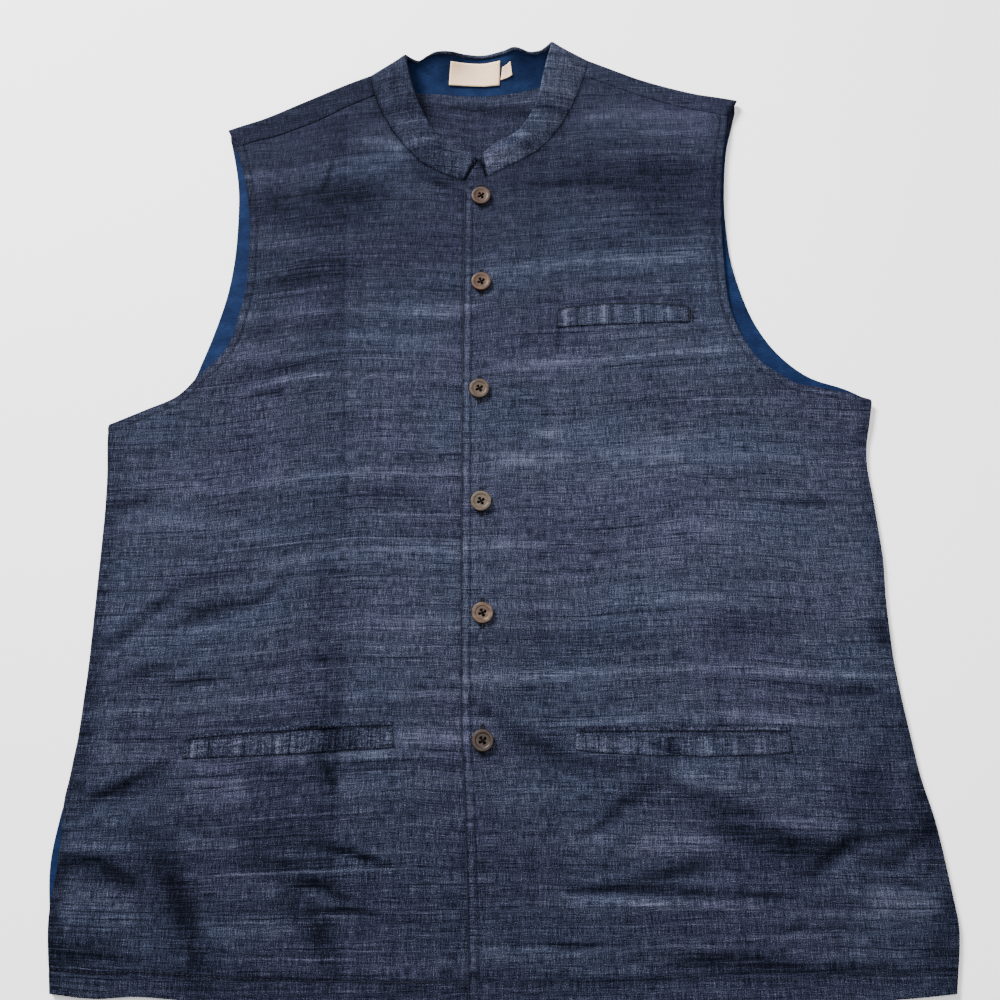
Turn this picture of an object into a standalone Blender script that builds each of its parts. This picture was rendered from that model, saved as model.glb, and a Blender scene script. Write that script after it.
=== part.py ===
"""A sleeveless band-collar jacket, buttoned up and laid flat on its back.

Left and right are the wearer's, so the left front is at +X.  +Y runs from the
hem to the collar and +Z is up.  The tables and sizes are in millimetres, with
"up" counted along the garment from the lowest point of the hem; world() turns
them into metres round the middle of the jacket.
"""

import math

import bmesh
import bpy
import numpy as np
from mathutils import Matrix, Vector

MM = 0.001
COLLECTION = "band_collar_jacket"

# Sizes of the garment as it lies.
LENGTH = 727.0          # lowest point of the hem to the top of the collar
SEAM_GAP = 0.35         # between two pieces that are sewn together
FACING_GAP = 1.0        # between the neck facing and the collar's lining
LINING_EASE = 0.25      # the collar's lining hangs this much looser than sewn
LABEL_EASE = 0.3        # and the labels on it
CLOTH = 1.5             # outer cloth with its interlining
LINING = 1.0            # lining, facing and labels
COLLAR_CLOTH = 1.2      # outer layer of the collar
OVERLAP = 27.0          # the left front laps this far over the right one
FOLD_REACH = 3.3        # half the height that the shoulder fold bulges out by
LINING_TUCK = 11.0      # the lining runs this far under the front's edge
EDGE_ROLL = 0.8         # outer cloth that shows beyond the lining's edge
VENT_UP, VENT_HALF, VENT_SHOW = 92.0, 46.0, 6.4   # lining that peeps out at the right vent
SEAM_SAG = 2.5          # the shoulder seams dip this much in the middle

# Heights of the layers above the surface.
LINING_Z = CLOTH + 0.3
FRONT_Z = CLOTH + 0.3 + CLOTH          # outer face of a front that lies on the back
LINING_LIFT = LINING + 0.45            # more where a lining lies between
LAP_LIFT = CLOTH + 0.8                 # more where the fronts lap
COLLAR_BACK_Z = 0.2                    # the collar's outer face at the back seam
LAP_REACH, LAP_FADE = 15.0, 12.0       # the lap's lift goes on past the under edge, then fades
RELIEF_SOFTNESS = 0.5                  # troughs flatten out softly at the layer below
SIDE_RELIEF, SIDE_FADE = 0.12, 34.0    # share of the relief at the side seams, full from there

# Where linings lie under the fronts: how far from the armhole or vent, and the fade.
ARMHOLE_COVER, VENT_COVER, COVER_FADE = 34.0, 36.0, 20.0
FACING_CENTRE, FACING_RADII = (-18.0, 640.0), (100.0, 68.0)   # ellipse of the neck facing
FACING_COVER, FACING_FADE = 1.45, 0.4                         # in radii of that ellipse

# Buttons: 24 ligne, four holes.
BUTTON_RADIUS = 7.62
BUTTON_THICKNESS = 2.8
BUTTON_EDGE = 0.8                      # rounding of its rim
BUTTON_DISH_RADIUS, BUTTON_DISH = 5.6, 0.35
BUTTON_HOLE_RADIUS, BUTTON_HOLE_PITCH = 0.95, 2.9
BUTTON_SIDES, HOLE_SIDES = 20, 6
BUTTON_GAP = 0.45                      # it lies this close to the cloth

# Outline of the back, hem to underarm: (x, up).
SIDE_RIGHT = (
    (-291.9, 8.4), (-296.6, 46.2), (-301.3, 85.8), (-298.4, 115.8), (-293.6, 141.8),
    (-291.4, 167.8), (-289.3, 223.3), (-289.4, 277.0), (-290.0, 340.4), (-293.9, 397.3),
)
SIDE_LEFT = (
    (296.0, 8.3), (302.1, 46.8), (300.5, 66.5), (294.0, 115.8), (287.8, 141.8),
    (283.8, 168.4), (277.4, 223.3), (276.4, 265.3), (277.2, 294.6), (274.6, 340.4),
    (272.7, 370.8), (281.0, 417.4),
)
# Armholes, underarm to shoulder: (x, up).  The back's edge lies outside the front's.
ARMHOLE_BACK_RIGHT = (
    (-293.9, 397.3), (-266.7, 410.2), (-248.5, 418.4), (-234.9, 431.1), (-227.8, 450.0),
    (-220.3, 474.2), (-212.8, 505.6), (-209.4, 535.9), (-209.2, 574.1), (-211.0, 601.3),
    (-217.2, 632.7), (-222.4, 651.5),
)
ARMHOLE_BACK_LEFT = (
    (281.0, 417.4), (262.2, 427.2), (239.2, 435.0), (226.1, 443.4), (209.8, 460.2),
    (196.0, 484.1), (186.5, 513.3), (181.7, 537.7), (180.3, 556.2), (180.0, 588.5),
    (184.6, 634.6), (190.4, 657.3), (196.2, 680.1),
)
ARMHOLE_FRONT_RIGHT = (
    (-293.9, 397.3), (-265.5, 409.0), (-241.6, 421.0), (-227.8, 437.2), (-216.6, 448.6),
    (-206.3, 465.1), (-201.6, 486.0), (-197.7, 508.1), (-197.3, 537.5), (-198.7, 569.2),
    (-202.8, 595.3), (-208.8, 619.1), (-213.7, 635.0),
)
ARMHOLE_FRONT_LEFT = (
    (281.0, 417.4), (261.4, 422.6), (240.6, 427.0), (223.5, 430.5), (209.8, 439.6),
    (198.3, 448.6), (186.5, 467.6), (178.1, 493.6), (175.9, 520.1), (175.5, 553.3),
    (176.7, 587.2), (180.1, 623.7), (184.6, 651.7), (186.6, 664.2),
)
# The armhole linings run between these shares of the armhole's length.
ARMHOLE_LININGS = (
    ("right", ARMHOLE_BACK_RIGHT, ARMHOLE_FRONT_RIGHT, -1.0, 0.03, 0.94),
    ("left", ARMHOLE_BACK_LEFT, ARMHOLE_FRONT_LEFT, 1.0, 0.03, 0.90),
)
# Lower edge of the facing inside the back neck: (x, up).
FACING_EDGE = ((-90.0, 655.0), (-62.0, 610.0), (-18.0, 588.0), (24.0, 611.0), (46.0, 664.0))
# The fold over each shoulder, from its tip to the neck: (x, up).
SHOULDER_RIGHT = ((-222.2, 652.0), (-190.9, 665.0), (-163.7, 678.0), (-135.4, 690.8))
SHOULDER_LEFT = ((195.6, 680.4), (157.6, 688.5), (117.5, 699.9), (97.0, 707.7))
# Edge of the closing, on the left front, hem to neck: (x, up).
CLOSING = (
    (-19.6, 0.8), (-20.5, 47.3), (-23.7, 135.0), (-26.2, 175.0), (-27.3, 265.0),
    (-27.9, 400.0), (-28.0, 542.0), (-27.5, 600.5),
)
# Lowest edge: (x, up).
HEM = (
    (-291.9, 8.4), (-262.0, 5.8), (-236.0, 7.0), (-209.0, 5.2), (-168.0, 3.0), (-110.0, 1.2),
    (-45.0, 0.3), (0.0, 0.0), (65.0, 0.3), (129.0, 1.2), (194.0, 2.4), (246.0, 4.6), (296.0, 8.3),
)
# The collar, from its right front end round the back to its left front end:
# base x, base up, wrap (1 on the front, 0 on the back), top x, top up, top z.
COLLAR = (
    (-28.9, 603.9, 1.0, -18.9, 625.3, 8.7),
    (-37.0, 606.0, 1.0, -31.4, 631.2, 10.3),
    (-46.6, 609.6, 1.0, -44.7, 636.9, 12.0),
    (-63.6, 619.6, 1.0, -54.8, 647.6, 14.5),
    (-76.0, 633.3, 1.0, -61.8, 660.2, 16.5),
    (-86.2, 646.5, 1.0, -67.6, 673.8, 18.3),
    (-96.2, 664.5, 1.0, -71.6, 686.5, 19.8),
    (-102.4, 681.3, 1.0, -73.8, 695.0, 20.6),    # shoulder seam
    (-105.2, 691.5, 1.0, -75.4, 701.0, 21.0),
    (-106.6, 699.3, 1.0, -76.4, 706.5, 21.0),    # the right fold begins
    (-107.3, 702.5, 0.5, -77.2, 714.2, 18.5),
    (-106.6, 699.3, 0.0, -72.9, 714.4, 14.5),    # and ends
    (-96.0, 692.6, 0.0, -67.2, 713.3, 12.0),
    (-80.0, 688.8, 0.0, -60.0, 716.6, 13.5),
    (-63.0, 687.5, 0.0, -52.1, 719.6, 15.0),
    (-49.0, 687.0, 0.0, -40.8, 719.9, 15.0),
    (-29.8, 685.4, 0.0, -29.9, 720.5, 10.0),
    (-12.4, 684.8, 0.0, -14.0, 721.0, 7.5),
    (7.0, 687.2, 0.0, 3.3, 722.0, 13.0),
    (22.0, 690.6, 0.0, 11.5, 723.4, 16.0),
    (37.0, 695.0, 0.0, 21.6, 722.6, 11.5),
    (52.0, 701.0, 0.0, 28.6, 722.1, 12.0),
    (64.0, 708.0, 0.0, 33.8, 723.1, 13.0),
    (72.6, 714.4, 0.0, 38.2, 725.6, 15.2),       # the left fold begins
    (73.6, 717.6, 0.5, 42.2, 726.7, 18.5),
    (73.2, 714.2, 1.0, 40.9, 718.2, 20.8),       # and ends
    (72.2, 708.0, 1.0, 39.0, 710.8, 21.0),
    (69.9, 700.0, 1.0, 36.9, 702.0, 20.8),       # shoulder seam
    (64.5, 684.5, 1.0, 34.3, 689.0, 20.0),
    (58.5, 669.5, 1.0, 32.0, 677.0, 18.9),
    (50.5, 654.5, 1.0, 28.3, 666.0, 17.5),
    (41.0, 641.2, 1.0, 22.6, 655.4, 16.0),
    (28.2, 627.9, 1.0, 14.4, 645.0, 14.2),
    (8.8, 616.2, 1.0, 0.0, 637.7, 11.6),
    (-1.0, 610.6, 1.0, -7.6, 633.0, 10.0),
    (-9.3, 605.9, 1.0, -14.5, 627.9, 9.0),
)
RIGHT_SEAM, RIGHT_FOLD, RIGHT_BACK = 7, 9, 11    # rows of the table above
LEFT_BACK, LEFT_FOLD, LEFT_SEAM, COLLAR_END = 23, 25, 27, 35
COLLAR_BULGE = 1.2                               # the band is a little rounded across
COLLAR_SHARES = (0.0, 0.1, 0.4, 0.7, 1.0)        # of its height, a row at each
COLLAR_ROLL = 1.5                                # at the back it leaves its seam flat, then rises
LINING_TOP = 0.97                                # the collar's lining stops just below its edge

# How far the fronts stand off the back.  Broad swells: x, up, radius, height.
SWELLS = (
    (-150.0, 520.0, 95.0, 1.2), (90.0, 540.0, 100.0, 1.4), (-170.0, 300.0, 110.0, 1.3),
    (130.0, 330.0, 120.0, 1.5), (-120.0, 110.0, 80.0, 1.4), (180.0, 90.0, 90.0, 1.6),
    (-266.0, 60.0, 22.0, 1.6), (-170.0, 47.0, 24.0, 1.5), (-189.0, 135.0, 28.0, 1.4),
    (-245.0, 188.0, 26.0, 1.3), (60.0, 40.0, 40.0, 0.8), (250.0, 200.0, 40.0, 1.0),
)
# Ridges and troughs of the fronts: from x, up, to x, up, half width, height.
FOLDS = (
    (-24.0, 195.0, 81.0, 145.0, 14.0, -1.9),
    (100.0, 155.0, 228.0, 108.0, 17.0, 2.8),
    (148.0, 113.0, 226.0, 88.0, 12.0, -1.7),
    (53.0, 75.0, 139.0, 84.0, 11.0, -1.6),
    (53.0, 61.0, 283.0, 61.0, 14.0, 2.0),
    (67.0, 129.0, 101.0, 135.0, 11.0, -1.2),
    (39.0, 38.0, 260.0, 38.0, 10.0, 0.7),
    (78.0, 24.0, 142.0, 24.0, 13.0, -1.1),
    (-127.0, 669.0, -109.0, 229.0, 12.0, 0.9),
    (-124.0, 202.0, -116.0, 35.0, 12.0, 1.2),
    (-162.0, 424.0, -149.0, 195.0, 13.0, 0.6),
    (-284.0, 365.0, -253.0, 385.0, 11.0, 1.2),
    (-278.0, 236.0, -224.0, 265.0, 12.0, 1.5),
    (-224.0, 265.0, -172.0, 290.0, 12.0, 1.3),
    (-226.0, 248.0, -181.0, 263.0, 11.0, -1.0),
    (-272.0, 209.0, -221.0, 229.0, 11.0, 1.2),
    (-280.0, 129.0, -231.0, 148.0, 12.0, -1.9),
    (-290.0, 86.0, -245.0, 78.0, 11.0, -1.3),
    (-237.0, 97.0, -191.0, 29.0, 12.0, -1.6),
    (-135.0, 72.0, -111.0, 35.0, 11.0, -1.3),
    (-107.0, 94.0, -70.0, 103.0, 11.0, -1.0),
    (-105.0, 222.0, -75.0, 168.0, 11.0, -1.0),
)
BODY_LOFT = 1.1                                  # the fronts' mean rise between the folds
# The stiff collar lifts the cloth round the neck: x, up, radius, height.
NECK_RISES = (
    (-108.0, 694.0, 52.0, 3.6), (74.0, 708.0, 52.0, 3.6), (-18.0, 600.0, 42.0, 1.3),
    (-80.0, 640.0, 40.0, 1.2), (48.0, 652.0, 40.0, 1.2),
)

# Rows of the fronts' grids, and columns across.
BODY_ROWS, UNDERARM_ROWS, CHEST_ROWS, NECK_ROWS = 22, 3, 6, 7
UNDERARM_UP, CHEST_UP = 442.0, 560.0
FRONT_COLUMNS = 18
BACK_ROWS, ARMHOLE_ROWS, YOKE_ROWS, SHOULDER_COLUMNS, NECK_COLUMNS = 16, 7, 5, 5, 12
FOLD_STEPS, LINING_STEPS, VENT_STEPS, FACING_ROWS = 4, 14, 6, 4

# Pockets: corners (x, up) in the order lower start, lower end, upper end, upper
# start, then how far the lower and upper edges bow upwards in the middle.
WELTS = {
    "chest_welt": ((43.8, 476.1), (145.4, 480.6), (146.2, 492.2), (44.8, 489.8), 0.5, 4.4),
    "hip_welt_right": ((-217.5, 156.0), (-73.0, 163.6), (-74.0, 176.3), (-216.8, 166.9), -1.0, 1.6),
    "hip_jet_right": ((-216.6, 168.0), (-74.2, 177.6), (-74.4, 180.6), (-216.2, 170.6), 1.9, 1.9),
    "hip_welt_left": ((51.4, 162.3), (199.9, 160.7), (199.4, 172.8), (52.9, 172.6), -4.0, -2.4),
    "hip_jet_left": ((52.4, 174.0), (200.0, 174.2), (200.1, 177.0), (51.8, 176.8), 0.2, 0.2),
}
WELT_COLUMNS = 10
WELT_LIFT = LINING + 0.55             # outer face of a welt above the front's
# Buttons, top to bottom: x, up, turn in degrees.
BUTTONS = (
    (-15.0, 586.9, -12.0), (-14.6, 513.2, -20.0), (-15.5, 424.6, -14.0),
    (-13.8, 337.0, -16.0), (-12.4, 255.3, -22.0), (-11.9, 167.6, -9.0),
)
# Labels on the collar's lining.  Each corner is a collar station and a share of its
# height, in the order lower start, lower end, upper start, upper end.
LABELS = {
    "label_main": ((15.26, 0.27), (17.65, 0.26), (15.12, 0.79), (17.78, 0.80)),
    "label_size": ((17.72, 0.38), (18.40, 0.45), (17.86, 0.66), (18.43, 0.74)),
}
LABEL_COLUMNS, LABEL_ROWS = 6, 3

# Colour (linear), roughness.
MATERIALS = {
    "self_fabric": ((0.042, 0.054, 0.092, 1.0), 0.85),
    "lining": ((0.011, 0.030, 0.088, 1.0), 0.62),
    "button": ((0.165, 0.120, 0.088, 1.0), 0.42),
    "label": ((0.720, 0.680, 0.600, 1.0), 0.75),
}


# ---------------------------------------------------------------- curves

def spline_at(stations, t):
    """Points of the smooth curve through the stations; t counts in stations."""
    points = np.asarray(stations, float)
    t = np.clip(np.asarray(t, float), 0.0, len(points) - 1.0)
    steps = np.sqrt(np.linalg.norm(np.diff(points, axis=0), axis=1))[:, None]
    slopes = np.diff(points, axis=0) / steps
    tangents = np.empty_like(points)
    tangents[1:-1] = (slopes[:-1] * steps[1:] + slopes[1:] * steps[:-1]) / (steps[:-1] + steps[1:])
    tangents[0] = slopes[0]
    tangents[-1] = slopes[-1]
    span = np.minimum(t.astype(int), len(points) - 2)
    s = (t - span)[:, None]
    width = steps[span]
    return (
        points[span] * (1 + 2 * s) * (1 - s) ** 2
        + tangents[span] * width * s * (1 - s) ** 2
        + points[span + 1] * s * s * (3 - 2 * s)
        - tangents[span + 1] * width * s * s * (1 - s)
    )


def smooth_curve(stations, per_span=10):
    count = (len(stations) - 1) * per_span + 1
    return spline_at(stations, np.linspace(0, len(stations) - 1, count))


def arc_length(curve):
    steps = np.linalg.norm(np.diff(curve, axis=0), axis=1)
    return np.concatenate([[0.0], np.cumsum(steps)])


def pick(curve, start, end, steps):
    """Evenly spaced points between two lengths along the curve."""
    along = arc_length(curve)
    wanted = np.linspace(start, end, steps + 1)
    return np.column_stack([np.interp(wanted, along, axis) for axis in curve.T])


def length_at_up(curve, up):
    return float(np.interp(up, curve[:, 1], arc_length(curve)))


def x_at_up(curve, up):
    return np.interp(up, curve[:, 1], curve[:, 0])


def offset_curve(curve, distance):
    """The curve moved to the left of its direction, in plan."""
    tangent = np.gradient(curve, axis=0)
    tangent /= np.linalg.norm(tangent, axis=1)[:, None]
    return curve + distance * np.column_stack([-tangent[:, 1], tangent[:, 0]])


def distance_to(curve, x, up):
    """Distance of each point from the nearest of the curve's own points."""
    gaps = np.hypot(x[..., None] - curve[:, 0], up[..., None] - curve[:, 1])
    return gaps.min(axis=-1)


def smooth_step(value):
    value = np.clip(value, 0.0, 1.0)
    return value * value * (3 - 2 * value)


# ---------------------------------------------------------------- heights

def vent_inset(up):
    """How far the right front's side edge stands back from the back's."""
    reach = np.clip(np.abs(up - VENT_UP) / VENT_HALF, 0.0, 1.0)
    return VENT_SHOW * np.cos(reach * math.pi / 2) ** 2


def ridge(x, up, fold):
    x0, up0, x1, up1, half_width, height = fold
    along = np.array([x1 - x0, up1 - up0])
    share = ((x - x0) * along[0] + (up - up0) * along[1]) / along.dot(along)
    share = np.clip(share, 0.0, 1.0)
    distance = np.hypot(x - x0 - share * along[0], up - up0 - share * along[1])
    return height * np.exp(-((distance / half_width) ** 2))


def hill(x, up, swell):
    centre_x, centre_up, radius, height = swell
    return height * np.exp(-(((x - centre_x) ** 2 + (up - centre_up) ** 2) / radius**2))


def lining_cover(x, up, outline):
    """1 over the armhole linings, the neck facing and the vent's lining, 0 elsewhere."""
    armhole = np.minimum(distance_to(outline["armhole_right"], x, up),
                         distance_to(outline["armhole_left"], x, up))
    neck = np.hypot((x - FACING_CENTRE[0]) / FACING_RADII[0], (up - FACING_CENTRE[1]) / FACING_RADII[1])
    vent = distance_to(outline["vent"], x, up)
    return np.maximum.reduce([
        smooth_step((ARMHOLE_COVER - armhole) / COVER_FADE),
        smooth_step((FACING_COVER - neck) / FACING_FADE),
        smooth_step((VENT_COVER - vent) / COVER_FADE),
    ])


def outer_height(x, up, outline, lapped):
    """Height of the fronts' outer face; lapped is the left front, over the right one."""
    relief = BODY_LOFT + sum(hill(x, up, swell) for swell in SWELLS)
    relief = relief + sum(ridge(x, up, fold) for fold in FOLDS)
    relief = RELIEF_SOFTNESS * np.log1p(np.exp(relief / RELIEF_SOFTNESS))
    sides = np.minimum(distance_to(outline["side_right"], x, up),
                       distance_to(outline["side_left"], x, up))
    height = FRONT_Z + LINING_LIFT * lining_cover(x, up, outline)
    height = height + relief * smooth_step(SIDE_RELIEF + sides / SIDE_FADE)
    height = height + sum(hill(x, up, rise) for rise in NECK_RISES)
    if lapped:
        under_edge = x_at_up(outline["closing"], up) + OVERLAP
        height = height + LAP_LIFT * smooth_step((under_edge + LAP_REACH - x) / LAP_FADE)
    return height


# ---------------------------------------------------------------- making meshes

def world(x, up, z):
    return np.stack([x * MM, (up - LENGTH / 2) * MM, z * MM], axis=-1)


def material(name):
    """The named Principled material, one object to each."""
    kind = next(key for key in MATERIALS if name.startswith(key))
    colour, roughness = MATERIALS[kind]
    made = bpy.data.materials.new(name)
    made.diffuse_color = colour
    made.use_nodes = True
    shader = made.node_tree.nodes["Principled BSDF"]
    shader.inputs["Base Color"].default_value = colour
    shader.inputs["Roughness"].default_value = roughness
    shader.inputs["Metallic"].default_value = 0.0
    return made


def add_object(name, mesh, slot):
    obj = bpy.data.objects.new(name, mesh)
    bpy.data.collections[COLLECTION].objects.link(obj)
    mesh.materials.append(material(f"{slot}_{name}"))
    for polygon in mesh.polygons:
        polygon.use_smooth = True
    return obj


def add_grid_faces(bm, verts, outward_up):
    for lower, upper in zip(verts, verts[1:]):
        for a, b, c, d in zip(lower, lower[1:], upper[1:], upper):
            bm.faces.new((a, b, c, d) if outward_up else (d, c, b, a))


def grid_verts(bm, grid):
    return [[bm.verts.new(point) for point in row] for row in grid]


def shell(name, bm, thickness, slot):
    """Closes an open sheet: its faces are the outer side, the thickness goes inwards."""
    mesh = bpy.data.meshes.new(name)
    bm.to_mesh(mesh)
    bm.free()
    obj = add_object(name, mesh, slot)
    solidify = obj.modifiers.new("cloth thickness", "SOLIDIFY")
    solidify.thickness = thickness * MM
    solidify.offset = -1.0
    solidify.use_even_offset = True
    solidify.use_rim = True
    return obj


def sheet(name, grid, thickness, slot, outward_up=True):
    bm = bmesh.new()
    add_grid_faces(bm, grid_verts(bm, grid), outward_up)
    return shell(name, bm, thickness, slot)


# ---------------------------------------------------------------- outline of the garment

def collar_base(t):
    """Base point, top point and wrap of the collar at stations t."""
    t = np.asarray(t, float)
    table = np.array(COLLAR)
    base = np.column_stack([np.interp(t, np.arange(len(table)), column) for column in table.T[:3]])
    # Round each shoulder fold the base follows the fold of the cloth.
    for upper, lower in ((RIGHT_FOLD, RIGHT_BACK), (LEFT_FOLD, LEFT_BACK)):
        part = (t - upper) / (lower - upper)
        turning = (part > 0) & (part < 1)
        angle = (0.5 - part[turning]) * math.pi
        turn, fold = table[upper, :2], table[(upper + lower) // 2, :2]
        base[turning, :2] = turn + np.cos(angle)[:, None] * (fold - turn)
        base[turning, 2] = (1 + np.sin(angle)) / 2
    return base[:, :2], spline_at(COLLAR, t)[:, 3:5], base[:, 2]


def neck_edge(t, gap=SEAM_GAP):
    """The edge of the pieces that are sewn to the collar, a seam's gap away from it."""
    base, top, _ = collar_base(t)
    upwards = top - base
    upwards /= np.linalg.norm(upwards, axis=1)[:, None]
    return base - gap * upwards


def garment_outline():
    side_right = smooth_curve(SIDE_RIGHT)
    return {
        "side_right": side_right,
        "side_left": smooth_curve(SIDE_LEFT),
        "armhole_right": smooth_curve(ARMHOLE_FRONT_RIGHT),
        "armhole_left": smooth_curve(ARMHOLE_FRONT_LEFT),
        "closing": smooth_curve(CLOSING),
        "vent": side_right[np.abs(side_right[:, 1] - VENT_UP) < VENT_HALF],
    }


def hem_up(x):
    hem = smooth_curve(HEM)
    return np.interp(x, hem[:, 0], hem[:, 1])


# ---------------------------------------------------------------- fronts

def front_row_ends(outline, side):
    """Outer and inner end of each row of a front, hem to shoulder seam."""
    if side == "right":
        edge = outline["side_right"].copy()
        edge[:, 0] += vent_inset(edge[:, 1])
        armhole = outline["armhole_right"]
        centre = outline["closing"] + (OVERLAP, 0.0)
        centre[:, 1] -= 3.0 * smooth_step((centre[:, 1] - 500.0) / 100.0)
        neck = neck_edge(np.linspace(0, RIGHT_SEAM, NECK_ROWS + 1))
        corner = centre[-1]
    else:
        edge = outline["side_left"]
        armhole = outline["armhole_left"]
        centre = outline["closing"]
        neck = neck_edge(np.linspace(COLLAR_END, LEFT_SEAM, NECK_ROWS + 1))
        corner = centre[-1]
    pit_up = edge[-1, 1]
    chest_start = length_at_up(armhole, UNDERARM_UP)
    chest_end = length_at_up(armhole, CHEST_UP)
    armhole_end = arc_length(armhole)[-1]
    outer = np.vstack([
        pick(edge, 0, arc_length(edge)[-1], BODY_ROWS)[:-1],
        pick(armhole, 0, chest_start, UNDERARM_ROWS)[:-1],
        pick(armhole, chest_start, chest_end, CHEST_ROWS)[:-1],
        pick(armhole, chest_end, armhole_end, NECK_ROWS + 1),
    ])
    inner = np.vstack([
        pick(centre, 0, length_at_up(centre, pit_up), BODY_ROWS)[:-1],
        pick(centre, length_at_up(centre, pit_up), length_at_up(centre, UNDERARM_UP),
             UNDERARM_ROWS)[:-1],
        pick(centre, length_at_up(centre, UNDERARM_UP), arc_length(centre)[-1], CHEST_ROWS)[:-1],
        corner[None, :],
        neck,
    ])
    return outer, inner


def front_plan(outline, side):
    """Plan of a front as rows of points from its side edge to the closing."""
    outer, inner = front_row_ends(outline, side)
    share = np.linspace(0, 1, FRONT_COLUMNS + 1)[None, :, None]
    plan = outer[:, None, :] + (inner - outer)[:, None, :] * share
    hem_rise = hem_up(plan[0, :, 0]) - plan[0, :, 1]
    fade = np.clip(1 - np.arange(len(plan)) / BODY_ROWS, 0, 1) ** 2
    plan[:, :, 1] += fade[:, None] * hem_rise[None, :]
    sag = SEAM_SAG * np.sin(np.pi * share[0, :, 0])
    last_rows = np.clip((np.arange(len(plan)) - len(plan) + 1 + NECK_ROWS) / NECK_ROWS, 0, 1)
    plan[:, :, 1] -= last_rows[:, None] ** 2 * sag[None, :]
    return plan


def make_front(outline, side):
    plan = front_plan(outline, side)
    x, up = plan[..., 0], plan[..., 1]
    z = outer_height(x, up, outline, lapped=side == "left")
    return sheet(f"front_{side}", world(x, up, z), CLOTH, "self_fabric", side == "right")


# ---------------------------------------------------------------- back

def shoulder_lines(stations, armhole_end, neck_stations):
    """Fold, start of its turn, middle of the strip and seam of a shoulder, tip to neck, in plan."""
    seam_neck, strip_neck, turn_neck, fold_neck = neck_edge(neck_stations)
    line = smooth_curve(stations + (tuple(fold_neck),))
    fold = pick(line, 0, arc_length(line)[-1], SHOULDER_COLUMNS)
    share = np.linspace(0, 1, SHOULDER_COLUMNS + 1)
    seam = armhole_end + (seam_neck - armhole_end) * share[:, None]
    seam[:, 1] -= SEAM_SAG * np.sin(np.pi * share)
    to_seam = seam - fold
    to_seam /= np.linalg.norm(to_seam, axis=1)[:, None]
    turn = fold + FOLD_REACH * to_seam
    turn += (turn_neck - turn[-1]) * share[:, None]
    seam -= SEAM_GAP * to_seam
    middle = (turn + seam) / 2
    middle += (strip_neck - middle[-1]) * share[:, None]
    return fold, turn, middle, seam


def back_top_edge(right, left):
    """Top of the flat sheet: turn of the right shoulder, neck seam, turn of the left one."""
    neck = neck_edge(np.linspace(RIGHT_BACK, LEFT_BACK, NECK_COLUMNS + 1))
    return np.vstack([right[:-1], neck, left[::-1][1:]])


def flat_back_plan(outline, top_edge):
    columns = len(top_edge) - 1
    share = np.linspace(0, 1, columns + 1)[:, None]
    edges = {}
    for side, armhole in (("right", ARMHOLE_BACK_RIGHT), ("left", ARMHOLE_BACK_LEFT)):
        edge = outline[f"side_{side}"]
        hole = smooth_curve(armhole)
        chest = length_at_up(hole, CHEST_UP)
        edges[side] = np.vstack([
            pick(edge, 0, arc_length(edge)[-1], BACK_ROWS)[:-1],
            pick(hole, 0, chest, ARMHOLE_ROWS)[:-1],
            pick(hole, chest, arc_length(hole)[-1] - FOLD_REACH, YOKE_ROWS),
        ])
    right, left = edges["right"], edges["left"]
    straight = right[:, None, :] + (left - right)[:, None, :] * share[None]
    hem_rise = hem_up(straight[0, :, 0]) - straight[0, :, 1]
    fade = np.clip(1 - np.arange(len(straight)) / BACK_ROWS, 0, 1) ** 2
    straight[:, :, 1] += fade[:, None] * hem_rise[None, :]
    # The last rows bend from a straight row up to the shoulders and the neck.
    base = len(straight) - 1 - YOKE_ROWS
    for row in range(base + 1, len(straight)):
        part = (row - base) / YOKE_ROWS
        mixed = straight[base] * (1 - part) + top_edge * part
        start = (right[row] - mixed[0]) * (1 - share)
        end = (left[row] - mixed[-1]) * share
        straight[row] = mixed + start + end
    straight[-1] = top_edge
    return straight


def shoulder_turn(outline, fold, turn, middle, seam):
    """Rows that carry the back over the shoulder fold and down to the shoulder seam."""
    rows = []
    height = outer_height(turn[:, 0], turn[:, 1], outline, lapped=False)
    for angle in np.linspace(-math.pi / 2, math.pi / 2, FOLD_STEPS + 1)[1:]:
        plan = turn + (fold - turn) * math.cos(angle)
        rows.append(world(plan[:, 0], plan[:, 1], height * (1 + math.sin(angle)) / 2))
    for plan in (middle, seam):
        rows.append(world(plan[:, 0], plan[:, 1],
                          outer_height(plan[:, 0], plan[:, 1], outline, lapped=False)))
    return rows


def make_back(outline):
    right = shoulder_lines(SHOULDER_RIGHT, outline["armhole_right"][-1],
                           (RIGHT_SEAM, RIGHT_SEAM + 1, RIGHT_FOLD, RIGHT_FOLD + 1))
    left = shoulder_lines(SHOULDER_LEFT, outline["armhole_left"][-1],
                          (LEFT_SEAM, LEFT_SEAM - 1, LEFT_FOLD, LEFT_FOLD - 1))
    plan = flat_back_plan(outline, back_top_edge(right[1], left[1]))
    bm = bmesh.new()
    verts = grid_verts(bm, world(plan[..., 0], plan[..., 1], np.zeros(plan.shape[:2])))
    add_grid_faces(bm, verts, outward_up=False)
    top = verts[-1]
    for lines, start in ((right, top[:SHOULDER_COLUMNS + 1]), (left, top[::-1][:SHOULDER_COLUMNS + 1])):
        turned = [start] + grid_verts(bm, shoulder_turn(outline, *lines))
        add_grid_faces(bm, turned, outward_up=lines is left)
    return shell("back", bm, CLOTH, "self_fabric")


# ---------------------------------------------------------------- collar

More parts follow.
